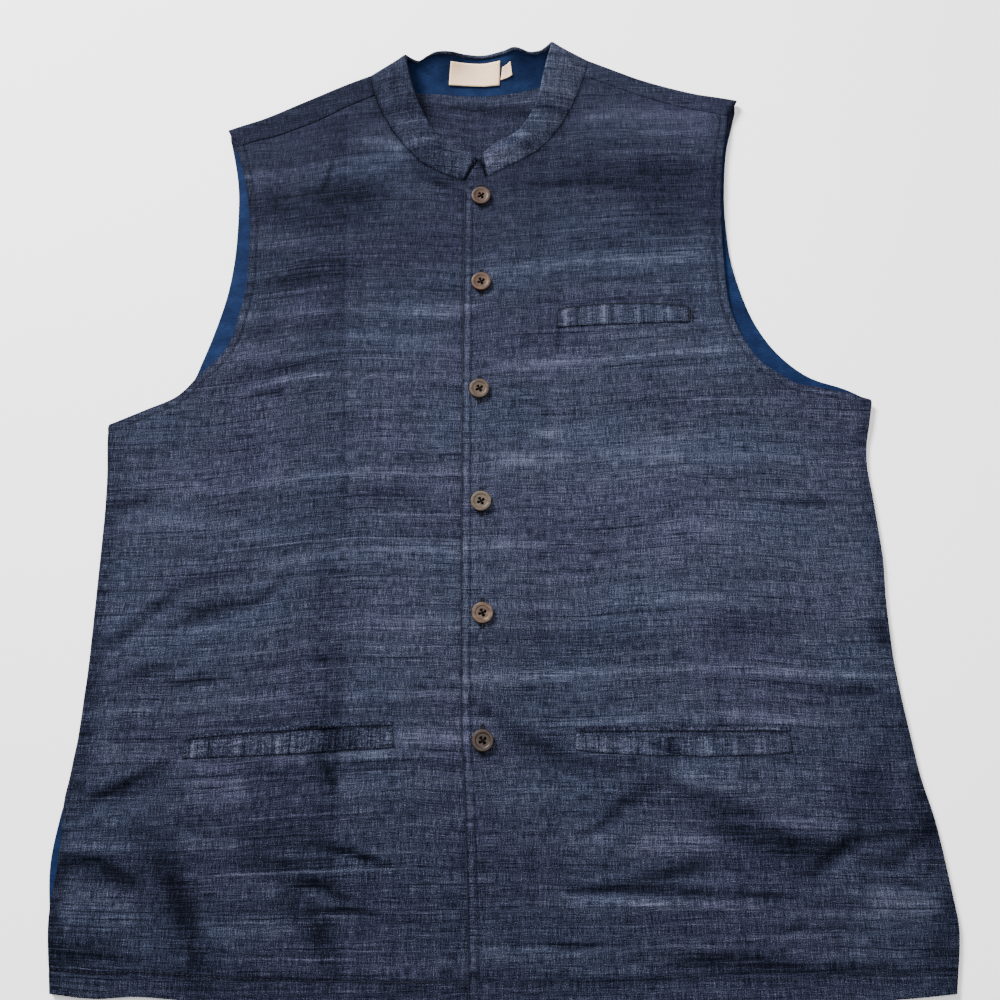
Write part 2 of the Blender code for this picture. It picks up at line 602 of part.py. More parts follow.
def collar_stations():
    """Where the collar's columns stand: on the rows and columns of what it is sewn to."""
    return np.concatenate([
        np.linspace(0, RIGHT_SEAM, NECK_ROWS + 1),
        np.linspace(RIGHT_SEAM, RIGHT_FOLD, 3)[1:],
        np.linspace(RIGHT_FOLD, RIGHT_BACK, FOLD_STEPS + 1)[1:],
        np.linspace(RIGHT_BACK, LEFT_BACK, NECK_COLUMNS * 2 + 1)[1:],
        np.linspace(LEFT_BACK, LEFT_FOLD, FOLD_STEPS + 1)[1:],
        np.linspace(LEFT_FOLD, LEFT_SEAM, 3)[1:],
        np.linspace(LEFT_SEAM, COLLAR_END, NECK_ROWS + 1)[1:],
    ])


def collar_surface(outline, stations, shares):
    """Outer face of the collar, a row of points for each share of its height."""
    base, top, wrap = collar_base(stations)
    top_z = spline_at(COLLAR, stations)[:, 5]
    on_left = stations > (RIGHT_BACK + LEFT_BACK) / 2
    front_z = np.where(on_left, outer_height(base[:, 0], base[:, 1], outline, lapped=True),
                       outer_height(base[:, 0], base[:, 1], outline, lapped=False))
    base_z = COLLAR_BACK_Z + (front_z - COLLAR_BACK_Z) * wrap
    share = np.asarray(shares)[:, None]
    x = base[:, 0] + (top[:, 0] - base[:, 0]) * share
    up = base[:, 1] + (top[:, 1] - base[:, 1]) * share
    z = base_z + (top_z - base_z) * share ** (COLLAR_ROLL + (1 - COLLAR_ROLL) * wrap)
    bulge = COLLAR_BULGE * np.sin(np.pi * share)
    return world(x, up, z + bulge * (2 * wrap - 1).clip(0, 1))


def inwards(grid, distance):
    """The grid moved to its inner side by a distance in millimetres."""
    along = np.gradient(grid, axis=1)
    across = np.gradient(grid, axis=0)
    normal = np.cross(along, across)
    normal /= np.linalg.norm(normal, axis=-1, keepdims=True)
    return grid + normal * distance * MM


def lining_depth():
    """From the collar's outer face to its lining."""
    return COLLAR_CLOTH + SEAM_GAP + LINING_EASE


def make_collar(outline):
    stations = collar_stations()
    shares = np.array(COLLAR_SHARES)
    outer = collar_surface(outline, stations, shares)
    sheet("collar", outer, COLLAR_CLOTH, "self_fabric", outward_up=False)
    inner = inwards(collar_surface(outline, stations, shares * LINING_TOP), lining_depth())
    sheet("collar_lining", inner, LINING, "lining", outward_up=False)


def grid_point(grid, stations, shares, station, share):
    """A point of the grid's facets, between its columns and rows."""
    column = np.array([[np.interp(station, stations, axis) for axis in row.T] for row in grid])
    return [np.interp(share, shares, axis) for axis in column.T]


def make_labels(outline):
    """The labels lie on the collar's lining, at the back."""
    stations, shares = collar_stations(), np.array(COLLAR_SHARES) * LINING_TOP
    lift = lining_depth() + LINING + SEAM_GAP + LABEL_EASE + LINING
    grid = inwards(collar_surface(outline, stations, shares), lift)
    for name, corners in LABELS.items():
        low_start, low_end, high_start, high_end = np.array(corners)
        face = []
        for part in np.linspace(0, 1, LABEL_ROWS + 1):
            start = low_start + (high_start - low_start) * part
            end = low_end + (high_end - low_end) * part
            spots = [start + (end - start) * along for along in np.linspace(0, 1, LABEL_COLUMNS + 1)]
            face.append([grid_point(grid, stations, shares, *spot) for spot in spots])
        sheet(name, np.array(face), LINING, name, outward_up=True)


# ---------------------------------------------------------------- linings and facing

def flat_strip(name, outer, inner, rows, slot):
    """A flat piece on the back, between two edges with as many points each."""
    share = np.linspace(0, 1, rows + 1)[:, None, None]
    plan = outer[None] + (inner - outer)[None] * share
    z = np.full(plan.shape[:2], LINING_Z + LINING)
    along, across = plan[0, 1] - plan[0, 0], plan[1, 0] - plan[0, 0]
    return sheet(name, world(plan[..., 0], plan[..., 1], z), LINING, slot,
                 outward_up=along[0] * across[1] - along[1] * across[0] > 0)


def make_armhole_linings():
    for side, back, front, turn, low, high in ARMHOLE_LININGS:
        outer = offset_curve(smooth_curve(back), turn * EDGE_ROLL)
        inner = offset_curve(smooth_curve(front), turn * LINING_TUCK)
        ends = [pick(curve, low * arc_length(curve)[-1], high * arc_length(curve)[-1], LINING_STEPS)
                for curve in (outer, inner)]
        flat_strip(f"armhole_lining_{side}", ends[0], ends[1], 1, "lining")


def make_vent_lining(outline):
    edge = outline["vent"]
    outer = pick(edge, 0, arc_length(edge)[-1], VENT_STEPS)
    inner = outer + np.column_stack([vent_inset(outer[:, 1]) + LINING_TUCK, np.zeros(len(outer))])
    flat_strip("vent_lining", outer + (EDGE_ROLL, 0.0), inner, 1, "lining")


def make_neck_facing():
    upper = neck_edge(np.arange(RIGHT_BACK + 1, LEFT_BACK - 1), FACING_GAP)
    lower = smooth_curve(FACING_EDGE)
    lower = pick(lower, 0, arc_length(lower)[-1], len(upper) - 1)
    flat_strip("neck_facing", upper, lower, FACING_ROWS, "self_fabric")


# ---------------------------------------------------------------- welts and buttons

def make_welts(outline):
    for name, (low_a, low_b, high_b, high_a, low_bow, high_bow) in WELTS.items():
        share = np.linspace(0, 1, WELT_COLUMNS + 1)
        arch = (4 * share * (1 - share)) ** 0.6
        rows = []
        for start, end, bow in ((low_a, low_b, low_bow), (high_a, high_b, high_bow)):
            row = np.outer(1 - share, start) + np.outer(share, end)
            row[:, 1] += bow * arch
            rows.append(row)
        count = 1 if "jet" in name else 2
        part = np.linspace(0, 1, count + 1)[:, None, None]
        plan = rows[0][None] + (rows[1] - rows[0])[None] * part
        x, up = plan[..., 0], plan[..., 1]
        z = outer_height(x, up, outline, lapped="right" not in name) + WELT_LIFT
        sheet(name, world(x, up, z), LINING, "self_fabric")


def button_mesh():
    """The half section of a disc with a dished face and rounded edges, to be turned."""
    radius, height, edge = BUTTON_RADIUS, BUTTON_THICKNESS, BUTTON_EDGE
    profile = (
        (0.0, height - BUTTON_DISH), (BUTTON_DISH_RADIUS - edge, height - BUTTON_DISH),
        (BUTTON_DISH_RADIUS, height), (radius - edge, height), (radius - edge / 4, height - edge / 4),
        (radius, height - edge), (radius - edge / 3, edge / 2), (radius - edge * 1.6, 0.0), (0.0, 0.0),
    )
    bm = bmesh.new()
    verts = [bm.verts.new((r * MM, 0.0, z * MM)) for r, z in profile]
    for a, b in zip(verts, verts[1:]):
        bm.edges.new((a, b))
    mesh = bpy.data.meshes.new("button")
    bm.to_mesh(mesh)
    bm.free()
    return mesh


def hole_mesh():
    """Four pins that cut a button's holes."""
    bm = bmesh.new()
    for corner in range(4):
        angle = math.radians(45 + 90 * corner)
        reach = BUTTON_HOLE_PITCH / math.sqrt(2)
        place = Matrix.Translation((reach * math.cos(angle) * MM, reach * math.sin(angle) * MM,
                                    BUTTON_THICKNESS / 2 * MM))
        bmesh.ops.create_cone(bm, cap_ends=True, segments=HOLE_SIDES, matrix=place,
                              radius1=BUTTON_HOLE_RADIUS * MM, radius2=BUTTON_HOLE_RADIUS * MM,
                              depth=2 * BUTTON_THICKNESS * MM)
    mesh = bpy.data.meshes.new("button_holes")
    bm.to_mesh(mesh)
    bm.free()
    return mesh


def add_cutter(name, mesh, matrix):
    cutter = bpy.data.objects.new(name, mesh)
    bpy.data.collections["cutters"].objects.link(cutter)
    cutter.matrix_world = matrix
    cutter.hide_render = True
    cutter.display_type = "WIRE"
    return cutter


def surface_frame(outline, x, up, reach):
    """Highest point and slope of the left front under a disc of this radius."""
    angles = np.linspace(0, 2 * np.pi, 16, endpoint=False)
    ring_x = np.concatenate([[x], x + reach * np.cos(angles)])
    ring_up = np.concatenate([[up], up + reach * np.sin(angles)])
    z = outer_height(ring_x, ring_up, outline, lapped=True)
    fit, *_ = np.linalg.lstsq(np.column_stack([ring_x - x, ring_up - up, np.ones(len(z))]), z, rcond=None)
    above = (z - fit[0] * (ring_x - x) - fit[1] * (ring_up - up)).max()
    return fit[0], fit[1], above


def make_buttons(outline):
    pins = hole_mesh()
    for number, (x, up, turn) in enumerate(BUTTONS, start=1):
        slope_x, slope_up, z = surface_frame(outline, x, up, BUTTON_RADIUS)
        normal = Vector((-slope_x, -slope_up, 1.0)).normalized()
        tilt = Vector((0.0, 0.0, 1.0)).rotation_difference(normal).to_matrix().to_4x4()
        spot = Vector(world(np.float64(x), np.float64(up), np.float64(z + BUTTON_GAP)))
        matrix = Matrix.Translation(spot) @ tilt @ Matrix.Rotation(math.radians(turn), 4, "Z")
        obj = add_object(f"button_{number}", button_mesh(), "button")
        obj.matrix_world = matrix
        screw = obj.modifiers.new("turned", "SCREW")
        screw.steps = screw.render_steps = BUTTON_SIDES
        screw.use_merge_vertices = True
        screw.merge_threshold = 0.00001
        screw.use_smooth_shade = True
        holes = obj.modifiers.new("holes", "BOOLEAN")
        holes.object = add_cutter(f"button_holes_{number}", pins, matrix)
        holes.operation = "DIFFERENCE"
        holes.solver = "EXACT"


# ---------------------------------------------------------------- the jacket

def clear_scene():
    for obj in list(bpy.data.objects):
        bpy.data.objects.remove(obj, do_unlink=True)


def main():
    clear_scene()
    for name in (COLLECTION, "cutters"):
        bpy.context.scene.collection.children.link(bpy.data.collections.new(name))
    outline = garment_outline()
    make_back(outline)
    make_neck_facing()
    make_armhole_linings()
    make_vent_lining(outline)
    make_front(outline, "right")
    make_front(outline, "left")
    make_collar(outline)
    make_labels(outline)
    make_welts(outline)
    make_buttons(outline)


main()
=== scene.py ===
"""The band-collar jacket laid flat, dressed for a photograph.

Left and right are the wearer's.  Tables are in millimetres with "up" counted from
the lowest point of the hem; world() turns them into metres in the frame's own axes.
"""

import math

import bpy
import bmesh
import numpy as np
from mathutils import Matrix, Vector

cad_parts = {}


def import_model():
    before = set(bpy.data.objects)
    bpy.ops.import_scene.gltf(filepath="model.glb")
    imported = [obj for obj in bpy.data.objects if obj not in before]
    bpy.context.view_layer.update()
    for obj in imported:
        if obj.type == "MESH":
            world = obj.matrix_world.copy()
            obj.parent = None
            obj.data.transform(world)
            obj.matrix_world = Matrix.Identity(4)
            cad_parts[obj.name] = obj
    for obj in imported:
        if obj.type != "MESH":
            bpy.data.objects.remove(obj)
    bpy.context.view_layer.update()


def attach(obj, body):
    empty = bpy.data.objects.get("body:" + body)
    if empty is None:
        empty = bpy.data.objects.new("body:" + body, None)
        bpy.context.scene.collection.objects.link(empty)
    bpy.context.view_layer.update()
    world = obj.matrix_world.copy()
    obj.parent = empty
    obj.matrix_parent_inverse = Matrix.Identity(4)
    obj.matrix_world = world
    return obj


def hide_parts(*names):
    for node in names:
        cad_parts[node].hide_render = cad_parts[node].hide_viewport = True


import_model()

MM = 0.001

# Sizes of the garment as it lies.
LENGTH = 727.0          # lowest point of the hem to the top of the collar
SEAM_GAP = -0.25        # the sewn pieces reach this far under each other
LINING_EASE = 0.25      # the collar's lining hangs this much looser than sewn
CLOTH = 1.5             # outer cloth with its interlining
LINING = 1.0            # lining, facing and labels
COLLAR_CLOTH = 1.2      # outer layer of the collar
OVERLAP = 27.0          # the left front laps this far over the right one
FOLD_REACH = 3.3        # half the height that the shoulder fold bulges out by
LINING_TUCK = 11.0      # the lining runs this far under the front's edge
EDGE_ROLL = 0.8         # outer cloth that shows beyond the lining's edge
VENT_UP, VENT_HALF, VENT_SHOW = 92.0, 46.0, 6.4   # lining that peeps out at the right vent
SEAM_SAG = 2.5          # the shoulder seams dip this much in the middle
UNDER_DIP, UNDER_DIP_UP, UNDER_DIP_OVER = 3.0, 500.0, 100.0   # the under edge dips at the neck

# Heights of the layers above the surface.
LINING_Z = CLOTH + 0.3
LINING_DEPTH = COLLAR_CLOTH + SEAM_GAP + LINING_EASE     # of the collar's lining, below its face
FRONT_Z = CLOTH + 0.3 + CLOTH          # outer face of a front that lies on the back
LINING_LIFT = LINING + 0.45            # more where a lining lies between
LAP_LIFT = CLOTH + 0.8                 # more where the fronts lap
COLLAR_BACK_Z = 0.2                    # the collar's outer face at the back seam
LAP_REACH, LAP_FADE = 45.0, 42.0       # the lap's lift goes on past the under edge, then fades
RELIEF_SOFTNESS = 0.5                  # troughs flatten out softly at the layer below
SIDE_RELIEF, SIDE_FADE = 0.12, 34.0    # share of the relief at the side seams, full from there

# Where linings lie under the fronts: how far from the armhole or vent, and the fade.
ARMHOLE_COVER, VENT_COVER, COVER_FADE = 34.0, 36.0, 20.0
FACING_CENTRE, FACING_RADII = (-18.0, 640.0), (100.0, 68.0)   # ellipse of the neck facing
FACING_COVER, FACING_FADE = 1.45, 0.4                         # in radii of that ellipse

# Buttons: 24 ligne, four holes.
BUTTON_RADIUS = 7.62
BUTTON_THICKNESS = 2.8
BUTTON_EDGE = 0.8                      # rounding of its rim
BUTTON_DISH_RADIUS, BUTTON_DISH = 5.6, 0.35
BUTTON_FLOOR = BUTTON_THICKNESS - BUTTON_DISH - 0.15
BUTTON_HOLE_RADIUS, BUTTON_HOLE_PITCH = 0.95, 2.9
BUTTON_GAP = 0.45                      # it lies this close to the cloth

# Sewing: how far from the edges it runs, and what it does to the cloth.
STITCH_IN = 5.9                        # stitching along the edges, this far in
HEM_STITCH = 15.0                      # from the hem
FACING_LINE = 60.0                     # the facing's edge, from the closing
EDGE_LIGHT = 2.9                       # a paler line between the closing's edge and its stitches
STITCH_DEPTH, STITCH_WIDTH = 0.35, 1.0    # of the groove that it lies in
STITCH_SINK, STITCH_WANDER = 0.25, 0.12   # its ends go this deep, it strays this far aside
THREAD_STEP = 0.42                     # between the threads of a worked buttonhole
BUTTONHOLE_HALF, BUTTONHOLE_BAR = 10.2, (10.0, 11.3)   # its rows' half length, and its ends' bars
BUTTON_COVERS = 6.4                    # the button hides this much of it on either side
PUCKER_REACH = 5.0                     # of the ripples on either side of it
ROUND_EDGE = 0.7                       # edges are folded round with this radius
THREAD_RADIUS = 0.21

# Outline of the back, hem to underarm: (x, up).
SIDE_RIGHT = (
    (-291.9, 8.4), (-296.6, 46.2), (-301.3, 85.8), (-298.4, 115.8), (-293.6, 141.8),
    (-291.4, 167.8), (-289.3, 223.3), (-289.4, 277), (-290, 340.4), (-293.9, 397.3),
)
SIDE_LEFT = (
    (296, 8.3), (302.1, 46.8), (300.5, 66.5), (294, 115.8), (287.8, 141.8), (283.8, 168.4),
    (277.4, 223.3), (276.4, 265.3), (277.2, 294.6), (274.6, 340.4), (272.7, 370.8), (281, 417.4),
)
# Armholes, underarm to shoulder: (x, up).  The back's edge lies outside the front's.
ARMHOLE_BACK_RIGHT = (
    (-293.9, 397.3), (-266.7, 410.2), (-248.5, 418.4), (-234.9, 431.1), (-227.8, 450),
    (-220.3, 474.2), (-212.8, 505.6), (-209.4, 535.9), (-209.2, 574.1), (-211, 601.3),
    (-217.2, 632.7), (-222.4, 651.5),
)
ARMHOLE_BACK_LEFT = (
    (281, 417.4), (262.2, 427.2), (239.2, 435), (226.1, 443.4), (209.8, 460.2), (196, 484.1),
    (186.5, 513.3), (181.7, 537.7), (180.3, 556.2), (180, 588.5), (184.6, 634.6), (190.4, 657.3),
    (196.2, 680.1),
)
ARMHOLE_FRONT_RIGHT = (
    (-293.9, 397.3), (-265.5, 409), (-241.6, 421), (-227.8, 437.2), (-216.6, 448.6),
    (-206.3, 465.1), (-201.6, 486), (-197.7, 508.1), (-197.3, 537.5), (-198.7, 569.2),
    (-202.8, 595.3), (-208.8, 619.1), (-213.7, 635),
)
ARMHOLE_FRONT_LEFT = (
    (281, 417.4), (261.4, 422.6), (240.6, 427), (223.5, 430.5), (209.8, 439.6), (198.3, 448.6),
    (186.5, 467.6), (178.1, 493.6), (175.9, 520.1), (175.5, 553.3), (176.7, 587.2),
    (180.1, 623.7), (184.6, 651.7), (186.6, 664.2),
)
# The armhole linings run between these shares of the armhole's length.
ARMHOLE_LININGS = (
    ("right", ARMHOLE_BACK_RIGHT, ARMHOLE_FRONT_RIGHT, -1, 0.03, 0.94),
    ("left", ARMHOLE_BACK_LEFT, ARMHOLE_FRONT_LEFT, 1, 0.03, 0.90),
)
# Lower edge of the facing inside the back neck: (x, up).
FACING_EDGE = ((-90, 655), (-62, 610), (-18, 588), (24, 611), (46, 664))
# The fold over each shoulder, from its tip to the neck: (x, up).
SHOULDER_RIGHT = ((-222.2, 652), (-190.9, 665), (-163.7, 678), (-135.4, 690.8))
SHOULDER_LEFT = ((195.6, 680.4), (157.6, 688.5), (117.5, 699.9), (97, 707.7))
# Edge of the closing, on the left front, hem to neck: (x, up).
CLOSING = (
    (-19.6, 0.8), (-20.5, 47.3), (-23.7, 135), (-26.2, 175), (-27.3, 265), (-27.9, 400),
    (-28, 542), (-27.5, 600.5),
)
# Lowest edge: (x, up).
HEM = (
    (-291.9, 8.4), (-262, 5.8), (-236, 7), (-209, 5.2), (-168, 3), (-110, 1.2), (-45, 0.3),
    (0, 0), (65, 0.3), (129, 1.2), (194, 2.4), (246, 4.6), (296, 8.3),
)
# The collar, from its right front end round the back to its left front end:
# base x, base up, wrap (1 on the front, 0 on the back), top x, top up, top z.
COLLAR = (
    (-28.9, 603.9, 1, -18.9, 625.3, 8.7),
    (-37, 606, 1, -31.4, 631.2, 10.3),
    (-46.6, 609.6, 1, -44.7, 636.9, 12),
    (-63.6, 619.6, 1, -54.8, 647.6, 14.5),
    (-76, 633.3, 1, -61.8, 660.2, 16.5),
    (-86.2, 646.5, 1, -67.6, 673.8, 18.3),
    (-96.2, 664.5, 1, -71.6, 686.5, 19.8),
    (-102.4, 681.3, 1, -73.8, 695, 20.6),    # shoulder seam
    (-105.2, 691.5, 1, -75.4, 701, 21),
    (-106.6, 699.3, 1, -76.4, 706.5, 21),    # the right fold begins
    (-107.3, 702.5, 0.5, -77.2, 714.2, 18.5),
    (-106.6, 699.3, 0, -72.9, 714.4, 14.5),  # and ends
    (-96, 692.6, 0, -67.2, 713.3, 12),
    (-80, 688.8, 0, -60, 716.6, 13.5),
    (-63, 687.5, 0, -52.1, 719.6, 15),
    (-49, 687, 0, -40.8, 719.9, 15),
    (-29.8, 685.4, 0, -29.9, 720.5, 10),
    (-12.4, 684.8, 0, -14, 721, 7.5),
    (7, 687.2, 0, 3.3, 722, 13),
    (22, 690.6, 0, 11.5, 723.4, 16),
    (37, 695, 0, 21.6, 722.6, 11.5),
    (52, 701, 0, 28.6, 722.1, 12),
    (64, 708, 0, 33.8, 723.1, 13),
    (72.6, 714.4, 0, 38.2, 725.6, 15.2),     # the left fold begins
    (73.6, 717.6, 0.5, 42.2, 726.7, 18.5),
    (73.2, 714.2, 1, 40.9, 718.2, 20.8),     # and ends
    (72.2, 708, 1, 39, 710.8, 21),
    (69.9, 700, 1, 36.9, 702, 20.8),         # shoulder seam
    (64.5, 684.5, 1, 34.3, 689, 20),
    (58.5, 669.5, 1, 32, 677, 18.9),
    (50.5, 654.5, 1, 28.3, 666, 17.5),
    (41, 641.2, 1, 22.6, 655.4, 16),
    (28.2, 627.9, 1, 14.4, 645, 14.2),
    (8.8, 616.2, 1, 0, 637.7, 11.6),
    (-1, 610.6, 1, -7.6, 633, 10),
    (-9.3, 605.9, 1, -14.5, 627.9, 9),
)
RIGHT_SEAM, RIGHT_FOLD, RIGHT_BACK = 7, 9, 11    # rows of the table above
LEFT_BACK, LEFT_FOLD, LEFT_SEAM, COLLAR_END = 23, 25, 27, 35
COLLAR_BULGE = 1.2                               # the band is a little rounded across
COLLAR_ROLL = 1.5                                # at the back it leaves its seam flat, then rises
COLLAR_ROLL_RADIUS = 1.35                        # of the fold along its top
COLLAR_TURNED_IN = (0.8, 1.8)                    # rows of its outer layer inside, below the fold
COLLAR_LAYER = 0.95                              # thickness of its outer layer
LINING_SHARES = np.linspace(0.0, 0.955, 24)      # rows of its lining, which ends below its top
COLLAR_PAINTED_LIGHT = (-0.04, 0.21)                     # painted shade on its right half, painted light on its left
# Bends of the stiff band: from x, up, to x, up, half width, height.
COLLAR_FOLDS = (
    (24, 640.5, -5, 622, 6, 0.9), (-4, 637, 12, 640, 9, 0.7), (-10, 608, 4, 622, 5, -0.6),
    (-62, 636, -40, 622, 7, 0.4), (-90, 668, -72, 660, 7, -0.35), (50, 700, 62, 690, 7, -0.35),
    (34, 668, 52, 664, 7, 0.35), (-82, 700, -96, 690, 6, 0.35),
)
# Its bent left front corner, which catches the light and gets a painted highlight, and the bend
# beside it, which gets painted shade: (x, up).
COLLAR_FACET_HIGHLIGHT = ((-16.5, 629), (-5.7, 634.8), (25, 627), (-8.8, 605))
COLLAR_BEND_SHADE = ((-6, 637.5), (8, 638), (24, 633))
# The button stand's end between the collar's ends: its height and where it starts, and for
# each of its edges the x at the foot, how far it moves, from what rise and over how much.
STAND_HEIGHT, STAND_UP = 25.5, 599.5
STAND_EDGES = ((-27.4, 7.4, 3.0, 17.0), (-10.9, -4.0, 4.0, 16.0))

# How far the fronts stand off the back.  Broad swells: x, up, radius, height.
SWELLS = (
    (-150, 520, 95, 1.2), (90, 540, 100, 1.4), (-170, 300, 110, 1.3), (130, 330, 120, 1.5),
    (-120, 110, 80, 1.4), (180, 90, 90, 1.6), (-266, 60, 22, 1.6), (-170, 47, 24, 1.5),
    (-189, 135, 28, 1.4), (-245, 188, 26, 1.3), (60, 40, 40, 0.8), (250, 200, 40, 1),
)
# Ridges and troughs of the fronts: from x, up, to x, up, half width, height.
FOLDS = (
    (-24, 195, 81, 145, 14, -1.9), (100, 155, 228, 108, 17, 2.8), (148, 113, 226, 88, 12, -1.7),
    (53, 75, 139, 84, 11, -1.6), (53, 61, 283, 61, 14, 2), (67, 129, 101, 135, 11, -1.2),
    (39, 38, 260, 38, 10, 0.7), (78, 24, 142, 24, 13, -1.1), (-127, 669, -109, 229, 12, 0.9),
    (-124, 202, -116, 35, 12, 1.2), (-162, 424, -149, 195, 13, 0.6),
    (-284, 365, -253, 385, 11, 1.2), (-278, 236, -224, 265, 12, 1.5),
    (-224, 265, -172, 290, 12, 1.3), (-226, 248, -181, 263, 11, -1),
    (-272, 209, -221, 229, 11, 1.2), (-280, 129, -231, 148, 12, -1.9),
    (-290, 86, -245, 78, 11, -1.3), (-237, 97, -191, 29, 12, -1.6),
    (-135, 72, -111, 35, 11, -1.3), (-107, 94, -70, 103, 11, -1), (-105, 222, -75, 168, 11, -1),
)
BODY_LOFT = 1.1                                  # the fronts' mean rise between the folds
# The stiff collar lifts the cloth round the neck: x, up, radius, height.
NECK_RISES = (
    (-108, 694, 52, 3.6), (74, 708, 52, 3.6), (-18, 600, 42, 1.3), (-80, 640, 40, 1.2),
    (48, 652, 40, 1.2),
)
# Small creases on top of the main ones: from x, up, to x, up, half width, height.
FINE_FOLDS = (
    (-128, 560, -118, 300, 5, -0.35), (-121, 170, -119, 60, 5, -0.45),
    (-160, 400, -152, 230, 4.5, -0.25), (-66, 598, -32, 574, 4, -0.7),
    (-58, 605, -30, 589, 3.5, 0.6), (-44, 585, -30, 560, 4, -0.4),
    (118, 170, 140, 156, 4.5, -0.8), (132, 172, 152, 163, 4, 0.4),
    (-255, 388, -205, 372, 6, -0.5), (-262, 360, -214, 352, 7, 0.5),
    (-238, 330, -150, 338, 7, -0.4), (240, 396, 196, 380, 6, -0.5), (246, 372, 176, 362, 7, 0.5),
    (232, 330, 150, 344, 8, -0.4), (-180, 430, -80, 446, 8, 0.4),
    (-190, 470, -100, 480, 7, -0.35), (40, 560, 150, 575, 8, 0.4), (60, 600, 160, 618, 7, -0.35),
    (-170, 600, -70, 615, 7, 0.4), (-190, 560, -90, 568, 6, -0.3), (30, 300, 120, 292, 8, -0.35),
    (50, 240, 180, 250, 8, 0.35), (-200, 120, -150, 96, 6, 0.6), (-260, 110, -210, 120, 5, 0.5),
    (-250, 40, -200, 52, 6, -0.6), (190, 150, 270, 140, 7, -0.6), (200, 46, 286, 40, 6, 0.6),
    (90, 110, 180, 92, 6, 0.7), (20, 120, 60, 104, 5, -0.6), (-60, 70, -30, 30, 6, 0.5),
    (230, 260, 268, 240, 6, 0.6), (-270, 320, -225, 306, 6, 0.5),
)
# Soft creases of the back, in the cloth just above the surface that it lies on.
BACK_FOLDS = (
    (-60, 560, 40, 575, 14, 0.35), (-160, 420, -40, 404, 16, 0.3), (20, 330, 170, 352, 15, 0.35),
    (-200, 250, -90, 262, 13, 0.3), (60, 180, 210, 150, 16, 0.35),
    (-240, 110, -150, 84, 13, 0.35), (-30, 90, 60, 60, 15, 0.3),
)

# Pockets: corners (x, up) in the order lower start, lower end, upper end, upper
# start, then how far the lower and upper edges bow upwards in the middle.
WELTS = {
    "chest_welt": ((43.8, 476.1), (145.4, 480.6), (146.2, 492.2), (44.8, 489.8), 0.5, 4.4),
    "hip_welt_right": ((-217.5, 156), (-73, 163.6), (-74, 176.3), (-216.8, 166.9), -1, 1.6),
    "hip_jet_right": ((-216.6, 168), (-74.2, 177.6), (-74.4, 180.6), (-216.2, 170.6), 1.9, 1.9),
    "hip_welt_left": ((51.4, 162.3), (199.9, 160.7), (199.4, 172.8), (52.9, 172.6), -4, -2.4),
    "hip_jet_left": ((52.4, 174), (200, 174.2), (200.1, 177), (51.8, 176.8), 0.2, 0.2),
}
WELT_LIFT = LINING + 0.55             # outer face of a welt above the front's
WELT_SINK = 0.6                       # it has sunk this much into the cloth below
# The cloth stands higher round a pocket, this far beside its welt and above its middle.
POCKET_RISE, POCKET_BESIDE, POCKET_HALF_HEIGHT = 0.5, 6.0, 17.0
# Paler places across the welts, where their threads run up and down: x, half width, amount.
WELT_STREAKS = {
    "chest_welt": ((50.5, 2.6, 0.25), (80.5, 2.6, 0.29), (91, 1.6, 0.18), (106, 2, 0.18),
                   (122, 2.4, 0.14), (130, 2, 0.21), (60.5, 1.2, -0.2), (86.5, 1.2, -0.15),
                   (111, 1.4, -0.16), (68, 4, 0.08)),
    "hip_welt_right": ((-208, 4.4, 0.24), (-180, 2.4, 0.18), (-170, 2.2, 0.2), (-160, 3, 0.24),
                       (-152.5, 1.4, 0.21), (-139, 7, 0.12), (-194, 5, 0.05), (-100, 22, -0.05)),
    "hip_welt_left": ((53.5, 1.8, 0.26), (71, 2.4, 0.14), (85, 3, 0.18), (99, 4, 0.15),
                      (141, 5, 0.24), (160, 4, 0.12), (176, 2.4, 0.1), (116, 6, -0.12)),
}
# Buttons, top to bottom: x, up, turn in degrees.
BUTTONS = (
    (-15, 586.9, -12), (-14.6, 513.2, -20), (-15.5, 424.6, -14), (-13.8, 337, -16),
    (-12.4, 255.3, -22), (-11.9, 167.6, -9),
)
# Labels on the collar's lining.  Each corner is a collar station and a share of its
# height, in the order lower start, lower end, upper start, upper end.
LABELS = {
    "label_main": ((15.26, 0.27), (17.65, 0.26), (15.12, 0.79), (17.78, 0.80)),
    "label_size": ((17.72, 0.38), (18.40, 0.45), (17.86, 0.66), (18.43, 0.74)),
}
